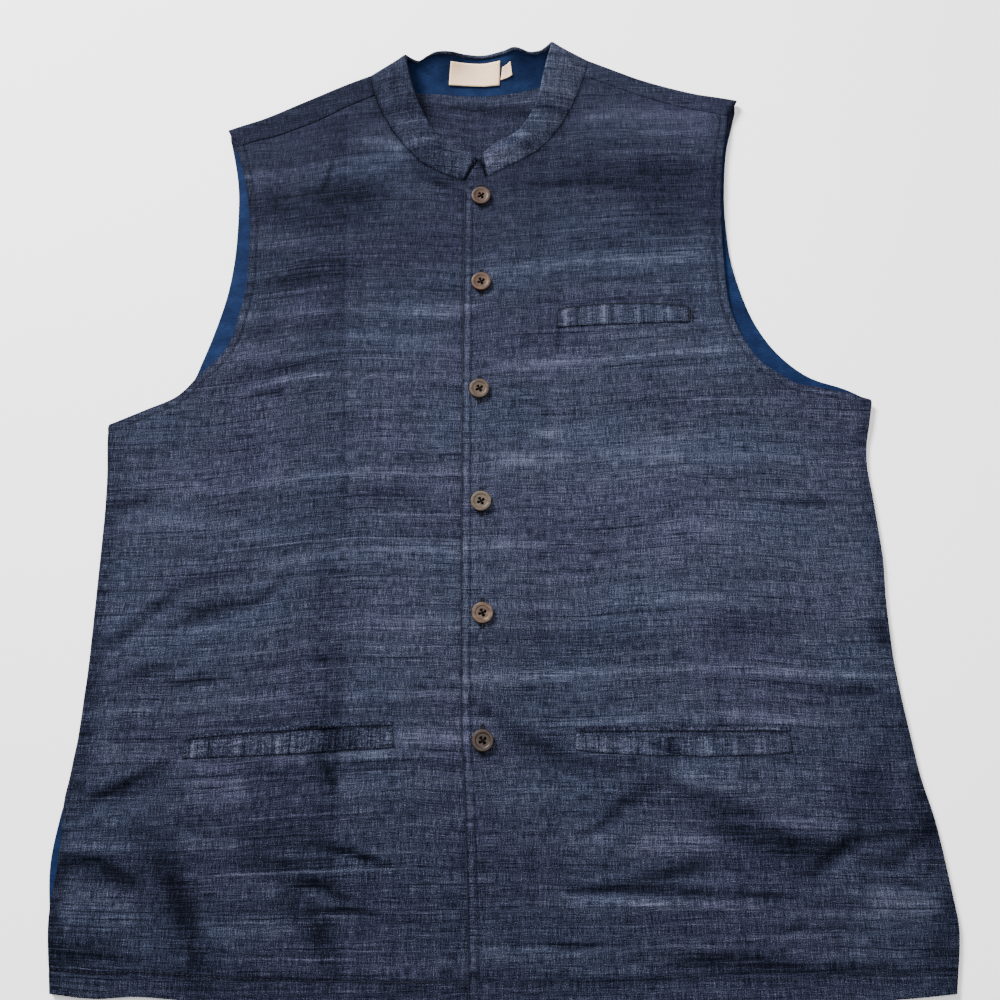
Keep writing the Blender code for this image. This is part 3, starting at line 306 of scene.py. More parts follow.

# Lines on the cloth.  Each row is x, up of its points one after another, a half width
# and a height or amount.
# Creases that turn away from the light: the side to the left of each stands higher, and each also
# gets painted shade along its middle.
CREASES = (
    ((-282, 127, -262, 134, -231, 150), 7, 1.9),
    ((-300, 88, -272, 89, -252, 80, -236, 68), 8, 2.2),
    ((-242, 99, -224, 88, -213, 70, -205, 50, -196, 26), 8, -2.4),
    ((-294, 36, -276, 31, -252, 33), 10, 0.9),
    ((-140, 68, -124, 75, -110, 71, -96, 58), 6.5, 1.3),
    ((-130, 62, -121, 50, -113, 34), 8, -1.9), ((-108, 57.5, -99, 58, -90, 56), 2.4, 0.8),
    ((-110, 98, -97, 95, -80, 88), 4, 1.2), ((-172, 90, -148, 86, -120, 80), 9, 0.8),
    ((-272, 240, -256, 252, -240, 263, -224, 276, -186, 283), 7, 1.1),
    ((-232, 246, -214, 254, -196, 260, -170, 264), 7.5, 1.1),
    ((-183, 262, -165, 271, -153, 284), 6, 0.8), ((-284, 232, -268, 238, -254, 248), 5, 0.8),
    ((-264, 210, -246, 216, -230, 220), 5.5, 0.9), ((-232, 204, -214, 209, -192, 211), 5.5, 0.8),
    ((-180, 214, -168, 217, -155, 216), 4, 0.6), ((-284, 334, -268, 338, -248, 344), 7, 0.9),
    ((-110, 226, -105, 214, -98, 207, -88, 204), 2.8, 0.8),
    ((-138, 177, -126, 176, -112, 175), 3, 0.8), ((-205, 178, -170, 181, -140, 180), 4, 0.5),
    ((-186, 292, -176, 299, -166, 306), 5, 0.6), ((-136, 628, -137, 612, -141, 596), 3.4, -0.8),
    ((-56, 608, -50, 600, -38, 596), 4, 1.4), ((-66, 618, -64, 606, -58, 598), 4, -0.6),
    ((-182, 436, -170, 440, -146, 446), 5, 0.7), ((-196, 419, -180, 421, -163, 424), 2.6, 0.7),
    ((-134, 404, -122, 405, -112, 407), 3, 0.5), ((-112, 405, -110, 394, -106, 384), 3, -0.5),
    ((-176, 512, -160, 518, -136, 530), 10, 0.9),
    ((-16, 191, 4, 180, 22, 166, 44, 156, 84, 148), 7.5, 1.4),
    ((104, 150, 122, 137, 142, 130), 7, 1.2), ((140, 122, 172, 120, 178, 112, 196, 104), 5, 1.3),
    ((180, 103, 210, 97, 240, 103), 9, 1.3), ((196, 92, 206, 82, 222, 94), 7, 1.2),
    ((240, 104, 258, 106, 280, 108), 4, 1), ((236, 95, 252, 90, 270, 96), 7, 1.1),
    ((72, 117, 86, 129, 110, 139), 6.5, 1.1), ((52, 106, 66, 112, 80, 120), 3.4, 0.7),
    ((84, 75, 112, 81, 144, 90), 7, 1.4), ((140, 112, 160, 108, 184, 98), 9, 1.1),
    ((44, 68, 70, 73, 100, 72, 180, 68), 4, 1.2), ((236, 78, 262, 77, 292, 72), 3.4, 1.2),
    ((186, 46, 194, 49, 200, 54), 3.4, 0.8), ((40, 37, 52, 38, 64, 38), 2.8, 0.6),
    ((120, 28, 150, 31, 182, 30), 5, 1), ((100, 19, 160, 22, 250, 24), 3.6, 0.8),
    ((-4, 84, -14, 86, -20, 82), 4, -0.8), ((112, 322, 120, 327, 128, 330), 4, 0.6),
    ((160, 252, 176, 250, 196, 252), 8, 0.6), ((232, 206, 244, 202, 256, 204), 6, 0.7),
    ((2, 528, 12, 532, 24, 534), 4, 0.6), ((20, 552, 34, 554, 48, 556), 3, 0.5),
    ((4, 595, 16, 592, 28, 586), 4, 0.7), ((44, 478, 45, 466, 42, 455), 3, -0.7),
    ((46, 195, 56, 188, 66, 184), 4, 0.7), ((96, 168, 110, 164, 126, 158), 3.4, 0.8),
)
# The pressed line down the right front, with painted shade on its outer side.
PRESS = ((-124, 640), (-120, 500), (-116, 400), (-110, 300), (-110, 170), (-110, 96))
PRESS_WIDTH, PRESS_PAINTED_SHADE = 22.0, -0.12
# Paler (+) and darker (-) weft bands, some of them painted shade and light of broad folds,
# painted shade and light of sharp wrinkles and of the lines beside the hem, and at the end of
# the table the bands of the collar and of the facing inside the neck.
BANDS = (
    ((-72, 170, -30, 169), 4, 0.2), ((-105, 158, -86, 158), 2.6, 0.22),
    ((-86, 158.5, -30, 157), 2.4, 0.09), ((-145, 155, -125, 156), 3.2, 0.14),
    ((-212, 152, -200, 150), 4, 0.09), ((-200, 138, -178, 136), 8, 0.12),
    ((-110, 137, -20, 142), 5, 0.1), ((-205, 102, -184, 100), 6, 0.14),
    ((-282, 100, -240, 99), 5, 0.1), ((-112, 109, -30, 117), 3, 0.08),
    ((-196, 46, -130, 50), 6, 0.1), ((-80, 25, -26, 26), 3, 0.08),
    ((-290, 150, -240, 156), 10, 0.07), ((-280, 62, -250, 60), 12, 0.1),
    ((-282, 186, -225, 190, -150, 196), 3.2, 0.11), ((-112, 199, -30, 199), 3.4, 0.14),
    ((-250, 240, -140, 247, -35, 252), 2.2, 0.09), ((-158, 291, -130, 298), 5, 0.14),
    ((-115, 299, -30, 303), 6, 0.12), ((-242, 348, -214, 348), 4, 0.12),
    ((-172, 354, -140, 357, -30, 360), 3, 0.12), ((-246, 325, -228, 322), 6, 0.07),
    ((-98, 345, -72, 346), 4, -0.1), ((-200, 484, -120, 492, -76, 490), 3.6, 0.11),
    ((-57, 491, -30, 490), 5, 0.15), ((-118, 468, -98, 468), 3.4, 0.11),
    ((-74, 463, -56, 463), 5.5, 0.13), ((-46, 458, -34, 456), 6, 0.09),
    ((-200, 424, -175, 430, -160, 434, -146, 436), 2.8, 0.11),
    ((-132, 436.5, -102, 435.5, -31, 434.5), 2.6, 0.11), ((-157, 453, -131, 456), 2.4, 0.12),
    ((-114, 421, -106, 420), 3.4, 0.11), ((-205, 450, -180, 456), 10, 0.06),
    ((-204, 608, -173, 614, -138, 619), 3, 0.12), ((-198, 606, -138, 608), 8, 0.05),
    ((-131, 623, -76, 625.5), 2.8, 0.1), ((-131, 613, -100, 613), 6, 0.07),
    ((-124, 641, -84, 639), 4, 0.09), ((-98, 635, -84, 634), 5, 0.05),
    ((-196, 578, -110, 580), 14, -0.08), ((-140, 594, -98, 594), 9, -0.1),
    ((-188, 548, -122, 549), 13, 0.06), ((-190, 517, -122, 526), 14, -0.05),
    ((-74, 594, -58, 594), 3.2, 0.1), ((-52, 508, -40, 508), 2.2, -0.12),
    ((104, 667, 155, 665), 7, 0.11), ((120, 649, 142, 649), 2.6, 0.12),
    ((66, 643, 100, 645), 2.2, 0.06), ((98, 631, 138, 632), 3, 0.07),
    ((153, 651, 178, 651), 3, 0.07), ((78, 662, 85, 663), 4.5, 0.12),
    ((60, 609, 150, 612), 13, -0.06), ((33, 601, 100, 601), 5, -0.08),
    ((120, 618, 176, 616), 13, -0.08), ((118, 577, 164, 577), 16, -0.09),
    ((66, 548, 100, 549), 9, -0.06), ((110, 574, 150, 574), 2.4, -0.1),
    ((0, 524, 44, 529, 78, 533, 120, 535.5, 142, 538), 6, 0.13),
    ((50, 516, 100, 518, 142, 524), 3.2, -0.12), ((67, 512, 156, 513), 2.4, 0.06),
    ((78, 469, 120, 468), 6, 0.07),
    ((4, 443, 29, 447, 56, 448, 89, 450, 120, 454.4, 178, 457.8), 2.8, 0.14),
    ((33, 391, 67, 392), 5, 0.11), ((104, 385.6, 133, 386), 3.2, 0.11),
    ((13, 371, 49, 371), 5, 0.14), ((78, 373, 122, 374), 5, 0.12),
    ((100, 414, 171, 414), 1.8, -0.09), ((238, 380, 262, 380), 2.2, -0.11),
    ((0, 305.5, 21, 305.5), 3.8, 0.18), ((0, 366, 22, 366), 4, 0.1),
    ((120, 320, 158, 320), 8, 0.11), ((109, 298, 138, 298.5, 182, 299), 2.8, 0.13),
    ((120, 267, 158, 268), 3.2, 0.1), ((0, 263, 80, 263.5), 1.8, 0.08),
    ((200, 277, 217, 277), 3.2, 0.08), ((156, 246, 200, 246), 10, -0.08),
    ((-20, 237, 104, 238), 6, -0.06),
    ((-24, 210, 40, 212, 84, 214.5, 142, 217, 191, 214.5, 267, 212), 3.2, 0.16),
    ((-24, 181, 56, 179.5, 100, 183, 142, 184.5, 191, 182, 222, 180.5), 2.6, 0.15),
    ((231, 201, 253, 201), 6, -0.12), ((111, 346, 160, 347), 2, 0.1),
    ((198, 345, 235, 345), 2, 0.11), ((211, 337, 231, 337), 3.2, -0.13),
    ((92, 208, 106, 208), 2.4, -0.12), ((50, 287, 64, 287), 2.4, -0.14),
    ((51, 66, 75, 65.5, 100, 63.5), 2, 0.2), ((100, 63, 182, 61, 240, 55), 3, 0.09),
    ((0, 36, 26, 35), 3.2, 0.18), ((52, 33, 76, 33), 4, 0.11), ((195, 42, 236, 41), 2.4, 0.1),
    ((200, 32, 258, 31), 2.2, 0.1), ((120, 27, 178, 28), 4, -0.14),
    ((254, 60, 280, 60), 11, 0.11), ((120, 143, 160, 144), 8, 0.1),
    ((180, 115, 224, 114), 7, 0.1), ((98, 99, 134, 100), 6, 0.1),
    ((196, 147, 222, 146), 5, 0.08), ((50, 104, 70, 103), 3, 0.08), ((2, 128, 40, 128), 6, 0.06),
    # painted shade and light of sharp wrinkles and of the lines beside the hem
    ((-106, 59.5, -99, 60, -91, 58.5), 1.7, -0.42), ((-106, 55.6, -95, 55.4), 1.7, 0.2),
    ((-105, 95, -93, 92, -83, 89), 2, -0.24), ((-113, 93, -100, 90.5), 2, 0.1),
    ((-132, 75.5, -122, 75, -112, 71), 2.2, -0.16), ((-128, 70.5, -117, 70), 1.8, 0.14),
    ((-118, 65.5, -107, 62.5), 2, 0.12), ((54, 73, 70, 71.5, 150, 71, 190, 68), 1.8, -0.16),
    ((0, 38.5, 62, 38), 1.7, -0.18), ((40, 17.5, 100, 17.5, 160, 19), 1.7, -0.1),
    ((150, 23, 200, 25.5, 250, 25), 1.8, -0.14), ((60, 21, 120, 22, 170, 23), 1.8, 0.08),
    ((214, 89, 226, 97, 233, 102), 4, -0.13), ((270, 94, 279, 103, 288, 109), 4, -0.13),
    ((222, 84, 236, 93, 243, 99), 3.6, 0.07),
    # the collar, and the facing inside the neck
    ((-82, 654, -56, 653), 3, 0.12), ((-78, 634, -46, 641), 2.6, 0.18),
    ((-104, 664, -70, 662), 4, -0.06), ((24, 666, 44, 665), 2.6, -0.14),
    ((18, 648, 44, 646), 2.6, -0.1), ((8, 642, 42, 641), 2, 0.08), ((26, 683, 50, 684), 6, 0.06),
    ((-60, 681, 20, 680), 3, 0.07), ((-60, 673, -26, 674), 5, -0.09),
    ((-10, 672, 24, 672), 6, -0.08),
)
# Thick short slubs, dark: x, up, half length, half height, amount.
SLUBS = (
    (-70, 580.7, 4, 1.6, -0.3), (-179, 580, 4, 1.4, -0.22), (-98, 563.5, 4, 1.4, -0.22),
    (-168, 422.5, 6, 1.8, -0.26), (-147, 425, 4, 2.4, -0.16), (-116.5, 146, 1.4, 4, -0.34),
    (-130, 335, 10, 1.6, -0.16), (-117, 285, 12, 1.5, -0.15), (-124, 223, 4, 1.6, -0.2),
    (124, 228, 5, 1.8, -0.16), (127, 177.5, 2.6, 2.4, -0.26), (26, 310, 4, 1.6, -0.24),
    (132, 313.5, 5, 1.4, -0.16), (237, 269, 3, 1.6, -0.2), (143, 295.5, 6, 1.3, -0.16),
    (89, 264.5, 4, 1.3, -0.2), (8, 428, 6, 1.3, -0.16), (12, 468, 8, 1.2, -0.14),
    (114, 100, 2.4, 1.4, -0.2), (86, 549.5, 4, 1.4, -0.16), (-150, 79, 14, 1.4, -0.14),
    (146, 509, 3, 1.6, -0.16), (120, 437, 8, 3, -0.08), (-40, 582, 8, 1.2, -0.1),
)
# Broad soft shadows (-) and lights (+) of the hanging folds.
SHADES = (
    ((-240, 100, -222, 85, -212, 66, -204, 45, -196, 20), 13, -0.1),
    ((-124, 160, -118, 148, -114, 136), 5, -0.15), ((-172, 100, -120, 98), 14, -0.06),
    ((-140, 62, -118, 46, -108, 26), 9, -0.1), ((-296, 26, -240, 24), 11, -0.08),
    ((-296, 90, -290, 30), 6, -0.07), ((-286, 62, -262, 60, -246, 50), 7, 0.07),
    ((-128, 300, -124, 240, -120, 180), 9, -0.04), ((-284, 140, -284, 400), 8, -0.05),
    ((-24, 190, 0, 180), 5, -0.06), ((150, 112, 172, 104, 195, 97), 10, -0.1),
    ((238, 112, 252, 140, 270, 168), 10, -0.11), ((262, 112, 282, 112), 14, -0.08),
    ((284, 140, 289, 90), 6, -0.1), ((130, 27, 165, 28), 6, -0.08),
    ((282, 30, 296, 60), 8, -0.08), ((254, 68, 284, 66), 8, 0.08),
    ((100, 103, 140, 100), 9, 0.06), ((120, 145, 155, 138), 6, 0.06),
    ((20, 612, 190, 606), 24, -0.05), ((-140, 655, -122, 645), 9, -0.07),
    ((-60, 613, -46, 602, -30, 600), 6, -0.09), ((-185, 495, -180, 465), 8, -0.06),
    ((-196, 437, -150, 448, -128, 453), 4, -0.08), ((-192, 421, -168, 423), 5, -0.06),
    ((-190, 455, -165, 470, -150, 490), 9, 0.06), ((75, 660, 165, 655), 14, 0.07),
    ((-110, 640, -62, 648), 14, 0.06), ((70, 499, 150, 498), 3, -0.08),
    ((25, 445, 60, 450), 6, 0.06), ((30, 390, 60, 388), 6, 0.05),
    ((108, 437, 120, 430), 5, -0.07), ((265, 246, 273, 236), 5, -0.16),
)
CREASE_SLOPE = 2.33                    # so its height is that of its ridge above its middle
# painted shade along the creases, per mm of their height, and the bands' gain
CREASE_PAINTED_SHADE, BAND_GAIN = 0.10, 1.2
BAND_FADE = 12.0                       # bands fade over this length past their ends
BAND_MARGIN, SHADE_MARGIN = 40.0, 50.0   # no band or shade reaches further than this
WEFT_RISE = 0.035        # the weft runs up to the viewer's right
WEFT_STEP_RIGHT = 7.7    # the stripes of the right front lie this much lower than the left one's
# How the weft lies, which isn't quite straight: at each height up, how far a thread stands
# above its own height near the closing edge, every 40 mm from x = -300 to x = 300.
WEFT_LINES = (
    (20, (4, 2, 0, -1, -1, -1, -1, 0, 1, 1, 2, 3, 4, 5, 4, 4)),
    (130, (-9, -8, -7.5, -5.5, -1.5, 0.8, 2.8, 0, 0.5, 0, -2, -2, -1, -2, -4, -5)),
    (213, (-12, -11, -10, -7, -2, 0, 0, 0, -1, -1, 2.5, 3.5, 2, -1, -0.5, -1)),
    (340, (-15, -14, -13, -8.5, -2.5, 0.5, 0, 0, 0.5, 1, 4, 7.5, 6.5, 4.5, 5, 6)),
    (440, (-20, -19, -16, -9.5, -1.5, 0, -0.5, -1.5, 2.5, 3, 6.5, 10.5, 12.5, 11, 9, 9)),
    (530, (-16, -15, -14, -9, -2, 0, 0, -2, 2, 7, 11, 13, 14, 14, 14, 14)),
    (620, (-16, -15, -14, -9, -3, 1.5, 3, -3, 2, 6.5, 9.5, 11, 11, 11, 11, 11)),
)

# Rows and columns of the cloths' grids: how many, and where they are close together.
BODY_ROWS, UNDERARM_ROWS, CHEST_ROWS, NECK_ROWS = 132, 18, 36, 42
UNDERARM_UP, CHEST_UP = 442.0, 560.0
FRONT_COLUMNS, FRONT_LINES = 118, 296
CLOSE_ROWS = (0.0, 0.12, 0.35, 0.75, 1.4)       # this far from an edge
SEWN_BORDER = (0.0, 0.12, 0.35, 0.75, 1.4, 2.6, 4.2, 5.2, 5.9, 6.6, 7.8)
SHOULDER_COLUMNS, NECK_COLUMNS = 28, 96
BACK_ROWS, ARMHOLE_ROWS, YOKE_ROWS = 64, 28, 18
FOLD_STEPS, STRIP_STEPS = 12, 16
COLLAR_COLUMNS = (75, 16, NECK_COLUMNS, 16, 83)
BACK_CLOTH = 1.1

# Colours of the slubbed cloth and of the lining, dark to light, and how the light on the
# slubbed cloth changes from hem to collar.
CLOTH_RAMP = ((0.0, (9, 11, 24)), (0.18, (23, 26, 41)), (0.35, (39, 43, 63)), (0.62, (66, 71, 92)),
              (1.0, (120, 125, 149)))
CLOTH_TONES = ((0.0, 0.36), (0.17, 0.41), (0.26, 0.485), (0.38, 0.475), (0.48, 0.437),
               (0.60, 0.375), (0.72, 0.365))
CLOTH_TINTS = ((0.0, (1.035, 0.98, 1.02, 1.0)), (0.5, (1.0, 1.0, 1.0, 1.0)),
               (1.0, (0.965, 1.005, 1.02, 1.0)))
LINING_RAMP = ((0.3, (14, 26, 58)), (0.52, (24, 42, 80)), (0.75, (38, 62, 106)))
CLOTH_GAIN, LINING_GAIN = 0.42, 0.47
# Noises of the slubbed cloth: how fine along the weft and across it, shift, detail, roughness.
CLOTH_NOISES = {
    "bands": (3.6, 46, 1, 3, 0.6), "lines": (9, 210, 12, 3, 0.65), "streak": (13, 430, 2, 2, 0.6),
    "thin": (26, 900, 4, 1), "slub": (48, 620, 5, 2), "weft": (75, 1550, 7, 1, 0.6),
    "warp": (1650, 120, 8, 1, 0.6), "ribs": (260, 9, 10, 3, 0.7), "grain": (1450, 1450, 11, 1, 0.8),
    "clouds": (9, 14, 9, 3), "uneven": (9, 520, 13, 2, 0.6), "dark_thread": (17, 760, 14, 2, 0.55),
    "long_pale": (4.5, 520, 15, 1), "long_dark": (6, 600, 16, 1),
}
# How much each of the even ones counts.
CLOTH_GRAIN = (("bands", 0.20), ("lines", 0.36), ("weft", 0.80), ("warp", 1.0), ("grain", 1.9),
               ("ribs", 0.36), ("clouds", 0.06))
# Threads that stand out where a noise is high: from, to, amount.
CLOTH_THREADS = (
    ("streak", 0.56, 0.78, 0.15), ("thin", 0.60, 0.80, 0.14), ("slub", 0.63, 0.78, -0.36),
    ("dark_thread", 0.60, 0.72, -0.30), ("long_pale", 0.62, 0.76, 0.20),
    ("long_dark", 0.60, 0.74, -0.20),
)
# The buttons' horn, top to bottom: dark, middle and pale colour, and the turn of its grain.
HORNS = (
    (((34, 25, 20), (56, 41, 32), (74, 57, 46)), -20),
    (((38, 28, 21), (63, 46, 35), (85, 63, 48)), 15),
    (((36, 29, 23), (59, 47, 38), (78, 64, 52)), -40),
    (((45, 38, 31), (68, 57, 47), (86, 75, 64)), 10),
    (((41, 31, 25), (68, 52, 41), (90, 71, 57)), -15),
    (((19, 13, 10), (34, 23, 16), (50, 36, 26)), 52),
)

# The picture, in metres and degrees.  Lights: name, place, target, width, height, power.
CAMERA_PLACE, CAMERA_TILT, CAMERA_LENS = (0.0, -0.2087, 0.692), 15.0, 34.92
LIGHTS = (
    ("key", (-1.5, 1.95, 1.67), (0.0, 0.0, 0.0), 1.0, 0.85, 335.0),
    ("fill", (0.14, -0.05, 1.05), (0.10, -0.03, 0.0), 0.5, 0.5, 9.6),
)
SKY_LIGHT = 0.35
FLOOR_DROP = 0.0004


# ---------------------------------------------------------------- curves

def spline_at(stations, t):
    """Points of the smooth curve through the stations; t counts in stations."""
    points = np.asarray(stations, float)
    t = np.clip(np.asarray(t, float), 0.0, len(points) - 1.0)
    steps = np.sqrt(np.linalg.norm(np.diff(points, axis=0), axis=1))[:, None]
    slopes = np.diff(points, axis=0) / steps
    tangents = np.empty_like(points)
    tangents[1:-1] = (slopes[:-1] * steps[1:] + slopes[1:] * steps[:-1]) / (steps[:-1] + steps[1:])
    tangents[0] = slopes[0]
    tangents[-1] = slopes[-1]
    span = np.minimum(t.astype(int), len(points) - 2)
    s = (t - span)[:, None]
    width = steps[span]
    return (
        points[span] * (1 + 2 * s) * (1 - s) ** 2
        + tangents[span] * width * s * (1 - s) ** 2
        + points[span + 1] * s * s * (3 - 2 * s)
        - tangents[span + 1] * width * s * s * (1 - s)
    )


def smooth_curve(stations, per_span=10):
    last = len(stations) - 1
    return spline_at(stations, np.linspace(0, last, last * per_span + 1))


def arc_length(curve):
    steps = np.linalg.norm(np.diff(curve, axis=0), axis=1)
    return np.concatenate([[0.0], np.cumsum(steps)])


def pick(curve, start, end, steps):
    """Evenly spaced points between two lengths along the curve."""
    along = arc_length(curve)
    wanted = np.linspace(start, end, steps + 1)
    return np.column_stack([np.interp(wanted, along, axis) for axis in curve.T])


def evenly(curve, steps):
    return pick(curve, 0, arc_length(curve)[-1], steps)


def stretches(curve, marks, counts, last=False):
    """Points from mark to mark, which are lengths along the curve, each in so many steps."""
    parts = [pick(curve, *ends) for ends in zip(marks, marks[1:], counts)]
    return np.vstack([part[:-1] for part in parts] + [parts[-1][-1:]] * last)


def length_at_up(curve, up):
    return float(np.interp(up, curve[:, 1], arc_length(curve)))


def x_at_up(curve, up):
    return np.interp(up, curve[:, 1], curve[:, 0])


def offset_curve(curve, distance):
    """The curve moved to the left of its direction, in plan."""
    tangent = np.gradient(curve, axis=0)
    tangent /= np.linalg.norm(tangent, axis=1)[:, None]
    return curve + distance * np.column_stack([-tangent[:, 1], tangent[:, 0]])


def distance_to(curve, x, up):
    """Distance of each point from the nearest of the curve's own points."""
    gaps = np.hypot(x[..., None] - curve[:, 0], up[..., None] - curve[:, 1])
    return gaps.min(axis=-1)


def smooth_step(value):
    value = np.clip(value, 0.0, 1.0)
    return value * value * (3 - 2 * value)


def bell(value, width):
    """1 at zero, fading on both sides over this width."""
    return np.exp(-((value / width) ** 2))


# ---------------------------------------------------------------- heights

def vent_inset(up):
    """How far the right front's side edge stands back from the back's."""
    reach = np.clip(np.abs(up - VENT_UP) / VENT_HALF, 0.0, 1.0)
    return VENT_SHOW * np.cos(reach * math.pi / 2) ** 2


def ridge(x, up, fold):
    x0, up0, x1, up1, half_width, height = fold
    along = np.array([x1 - x0, up1 - up0])
    share = ((x - x0) * along[0] + (up - up0) * along[1]) / along.dot(along)
    share = np.clip(share, 0.0, 1.0)
    distance = np.hypot(x - x0 - share * along[0], up - up0 - share * along[1])
    return height * bell(distance, half_width)


def hill(x, up, swell):
    centre_x, centre_up, radius, height = swell
    return height * np.exp(-(((x - centre_x) ** 2 + (up - centre_up) ** 2) / radius**2))


def lining_cover(x, up, outline):
    """1 over the armhole linings, the neck facing and the vent's lining, 0 elsewhere."""
    armhole = np.minimum(distance_to(outline["armhole_right"], x, up),
                         distance_to(outline["armhole_left"], x, up))
    (centre_x, centre_up), (radius_x, radius_up) = FACING_CENTRE, FACING_RADII
    neck = np.hypot((x - centre_x) / radius_x, (up - centre_up) / radius_up)
    vent = distance_to(outline["vent"], x, up)
    return np.maximum.reduce([
        smooth_step((ARMHOLE_COVER - armhole) / COVER_FADE),
        smooth_step((FACING_COVER - neck) / FACING_FADE),
        smooth_step((VENT_COVER - vent) / COVER_FADE),
    ])


def outer_height(x, up, outline, lapped):
    """Height of the fronts' outer face; lapped is the left front, over the right one."""
    relief = BODY_LOFT + sum(hill(x, up, swell) for swell in SWELLS)
    relief = relief + sum(ridge(x, up, fold) for fold in FOLDS)
    relief = RELIEF_SOFTNESS * np.log1p(np.exp(relief / RELIEF_SOFTNESS))
    sides = np.minimum(distance_to(outline["side_right"], x, up),
                       distance_to(outline["side_left"], x, up))
    height = FRONT_Z + LINING_LIFT * lining_cover(x, up, outline)
    height = height + relief * smooth_step(SIDE_RELIEF + sides / SIDE_FADE)
    height = height + sum(hill(x, up, rise) for rise in NECK_RISES)
    if lapped:
        under_edge = x_at_up(outline["closing"], up) + OVERLAP
        height = height + LAP_LIFT * smooth_step((under_edge + LAP_REACH - x) / LAP_FADE)
    return height


# ---------------------------------------------------------------- outline of the garment

def collar_base(t):
    """Base point, top point and wrap of the collar at stations t."""
    t = np.asarray(t, float)
    table = np.array(COLLAR)
    base = np.column_stack([np.interp(t, np.arange(len(table)), column) for column in table.T[:3]])
    # Round each shoulder fold the base follows the fold of the cloth.
    for upper, lower in ((RIGHT_FOLD, RIGHT_BACK), (LEFT_FOLD, LEFT_BACK)):
        part = (t - upper) / (lower - upper)
        turning = (part > 0) & (part < 1)
        angle = (0.5 - part[turning]) * math.pi
        turn, fold = table[upper, :2], table[(upper + lower) // 2, :2]
        base[turning, :2] = turn + np.cos(angle)[:, None] * (fold - turn)
        base[turning, 2] = (1 + np.sin(angle)) / 2
    return base[:, :2], spline_at(COLLAR, t)[:, 3:5], base[:, 2]


def neck_edge(t, gap=SEAM_GAP):
    """The edge of the pieces that are sewn to the collar, a seam's gap away from it."""
    base, top, _ = collar_base(t)
    upwards = top - base
    upwards /= np.linalg.norm(upwards, axis=1)[:, None]
    return base - gap * upwards


def garment_outline():
    side_right = smooth_curve(SIDE_RIGHT)
    return {
        "side_right": side_right,
        "side_left": smooth_curve(SIDE_LEFT),
        "armhole_right": smooth_curve(ARMHOLE_FRONT_RIGHT),
        "armhole_left": smooth_curve(ARMHOLE_FRONT_LEFT),
        "closing": smooth_curve(CLOSING),
        "vent": side_right[np.abs(side_right[:, 1] - VENT_UP) < VENT_HALF],
    }


def hem_up(x):
    hem = smooth_curve(HEM)
    return np.interp(x, hem[:, 0], hem[:, 1])


# ---------------------------------------------------------------- finer relief and tone

def lattice_noise(x, y, seed):
    """Smooth noise between -1 and 1 with a period of one unit."""
    rng = np.random.default_rng(seed)
    size = 97
    values = rng.uniform(-1, 1, (size, size))
    column, row = np.floor(x).astype(int), np.floor(y).astype(int)
    fx, fy = x - column, y - row
    fx, fy = fx * fx * (3 - 2 * fx), fy * fy * (3 - 2 * fy)
    at = lambda i, j: values[(row + j) % size, (column + i) % size]
    low = at(0, 0) * (1 - fx) + at(1, 0) * fx
    high = at(0, 1) * (1 - fx) + at(1, 1) * fx
    return low * (1 - fy) + high * fy


def rumple(x, up, seed=3):
    """Slight unevenness of soft cloth that has been pressed and then handled."""
    turn = up - WEFT_RISE * x
    wave = 0.30 * lattice_noise(x / 46.0, turn / 19.0, seed)
    wave = wave + 0.16 * lattice_noise(x / 23.0 + 9.3, turn / 9.5 + 4.1, seed + 1)
    wave = wave + 0.07 * lattice_noise(x / 9.0 + 2.7, turn / 5.0 + 8.3, seed + 2)
    return wave


def pucker(along, distance, at, height, seed):
    """Ripples that a row of stitches draws up in the cloth on either side of it."""
    reach = height * bell(distance - at, PUCKER_REACH)
    return reach * lattice_noise(along / 7.0, distance / 9.0, seed)


def beside_curve(points, x, up):
    """Signed distance across a smooth line, share along it and distance past its ends."""
    line = smooth_curve(points) if len(points) > 2 else np.linspace(points[0], points[-1], 11)
    shape = np.shape(x)
    x, up = np.ravel(x), np.ravel(up)
    gaps = (x[:, None] - line[None, :, 0]) ** 2 + (up[:, None] - line[None, :, 1]) ** 2
    near = gaps.argmin(axis=1)
    tangent = np.gradient(line, axis=0)
    tangent /= np.linalg.norm(tangent, axis=1)[:, None]
    off_x, off_up = x - line[near, 0], up - line[near, 1]
    across = tangent[near, 0] * off_up - tangent[near, 1] * off_x
    along = tangent[near, 0] * off_x + tangent[near, 1] * off_up
    past = np.where(near == 0, np.maximum(-along, 0),
                    np.where(near == len(line) - 1, np.maximum(along, 0), 0.0))
    share = near / (len(line) - 1.0)
    return across.reshape(shape), share.reshape(shape), past.reshape(shape)


def lines_near(table, x, up, margin=None):
    """The table's lines that come near these points: which points, across, share, past, sizes."""
    for points, half_width, amount in table:
        line = np.reshape(points, (-1, 2)).astype(float)
        reach = 4 * half_width if margin is None else margin
        low, high = line.min(axis=0) - reach, line.max(axis=0) + reach
        where = (x > low[0]) & (x < high[0]) & (up > low[1]) & (up < high[1])
        if where.any():
            yield (where, *beside_curve(line, x[where], up[where]), half_width, amount)


def crease_fields(x, up):
    """Relief that the creases add, and the painted shade along them."""
    relief, tone = np.zeros(np.shape(x)), np.zeros(np.shape(x))
    for where, across, share, past, half_width, height in lines_near(CREASES, x, up):
        taper = (0.25 + 0.75 * np.sin(np.pi * share) ** 0.7) * bell(past, 1.3 * half_width)
        part = across / half_width
        relief[where] += height * taper * CREASE_SLOPE * part * bell(part, 1.0)
        # painted shade along the middle of the crease
        tone[where] -= CREASE_PAINTED_SHADE * abs(height) * taper * bell(part, 0.9)
    return relief, tone


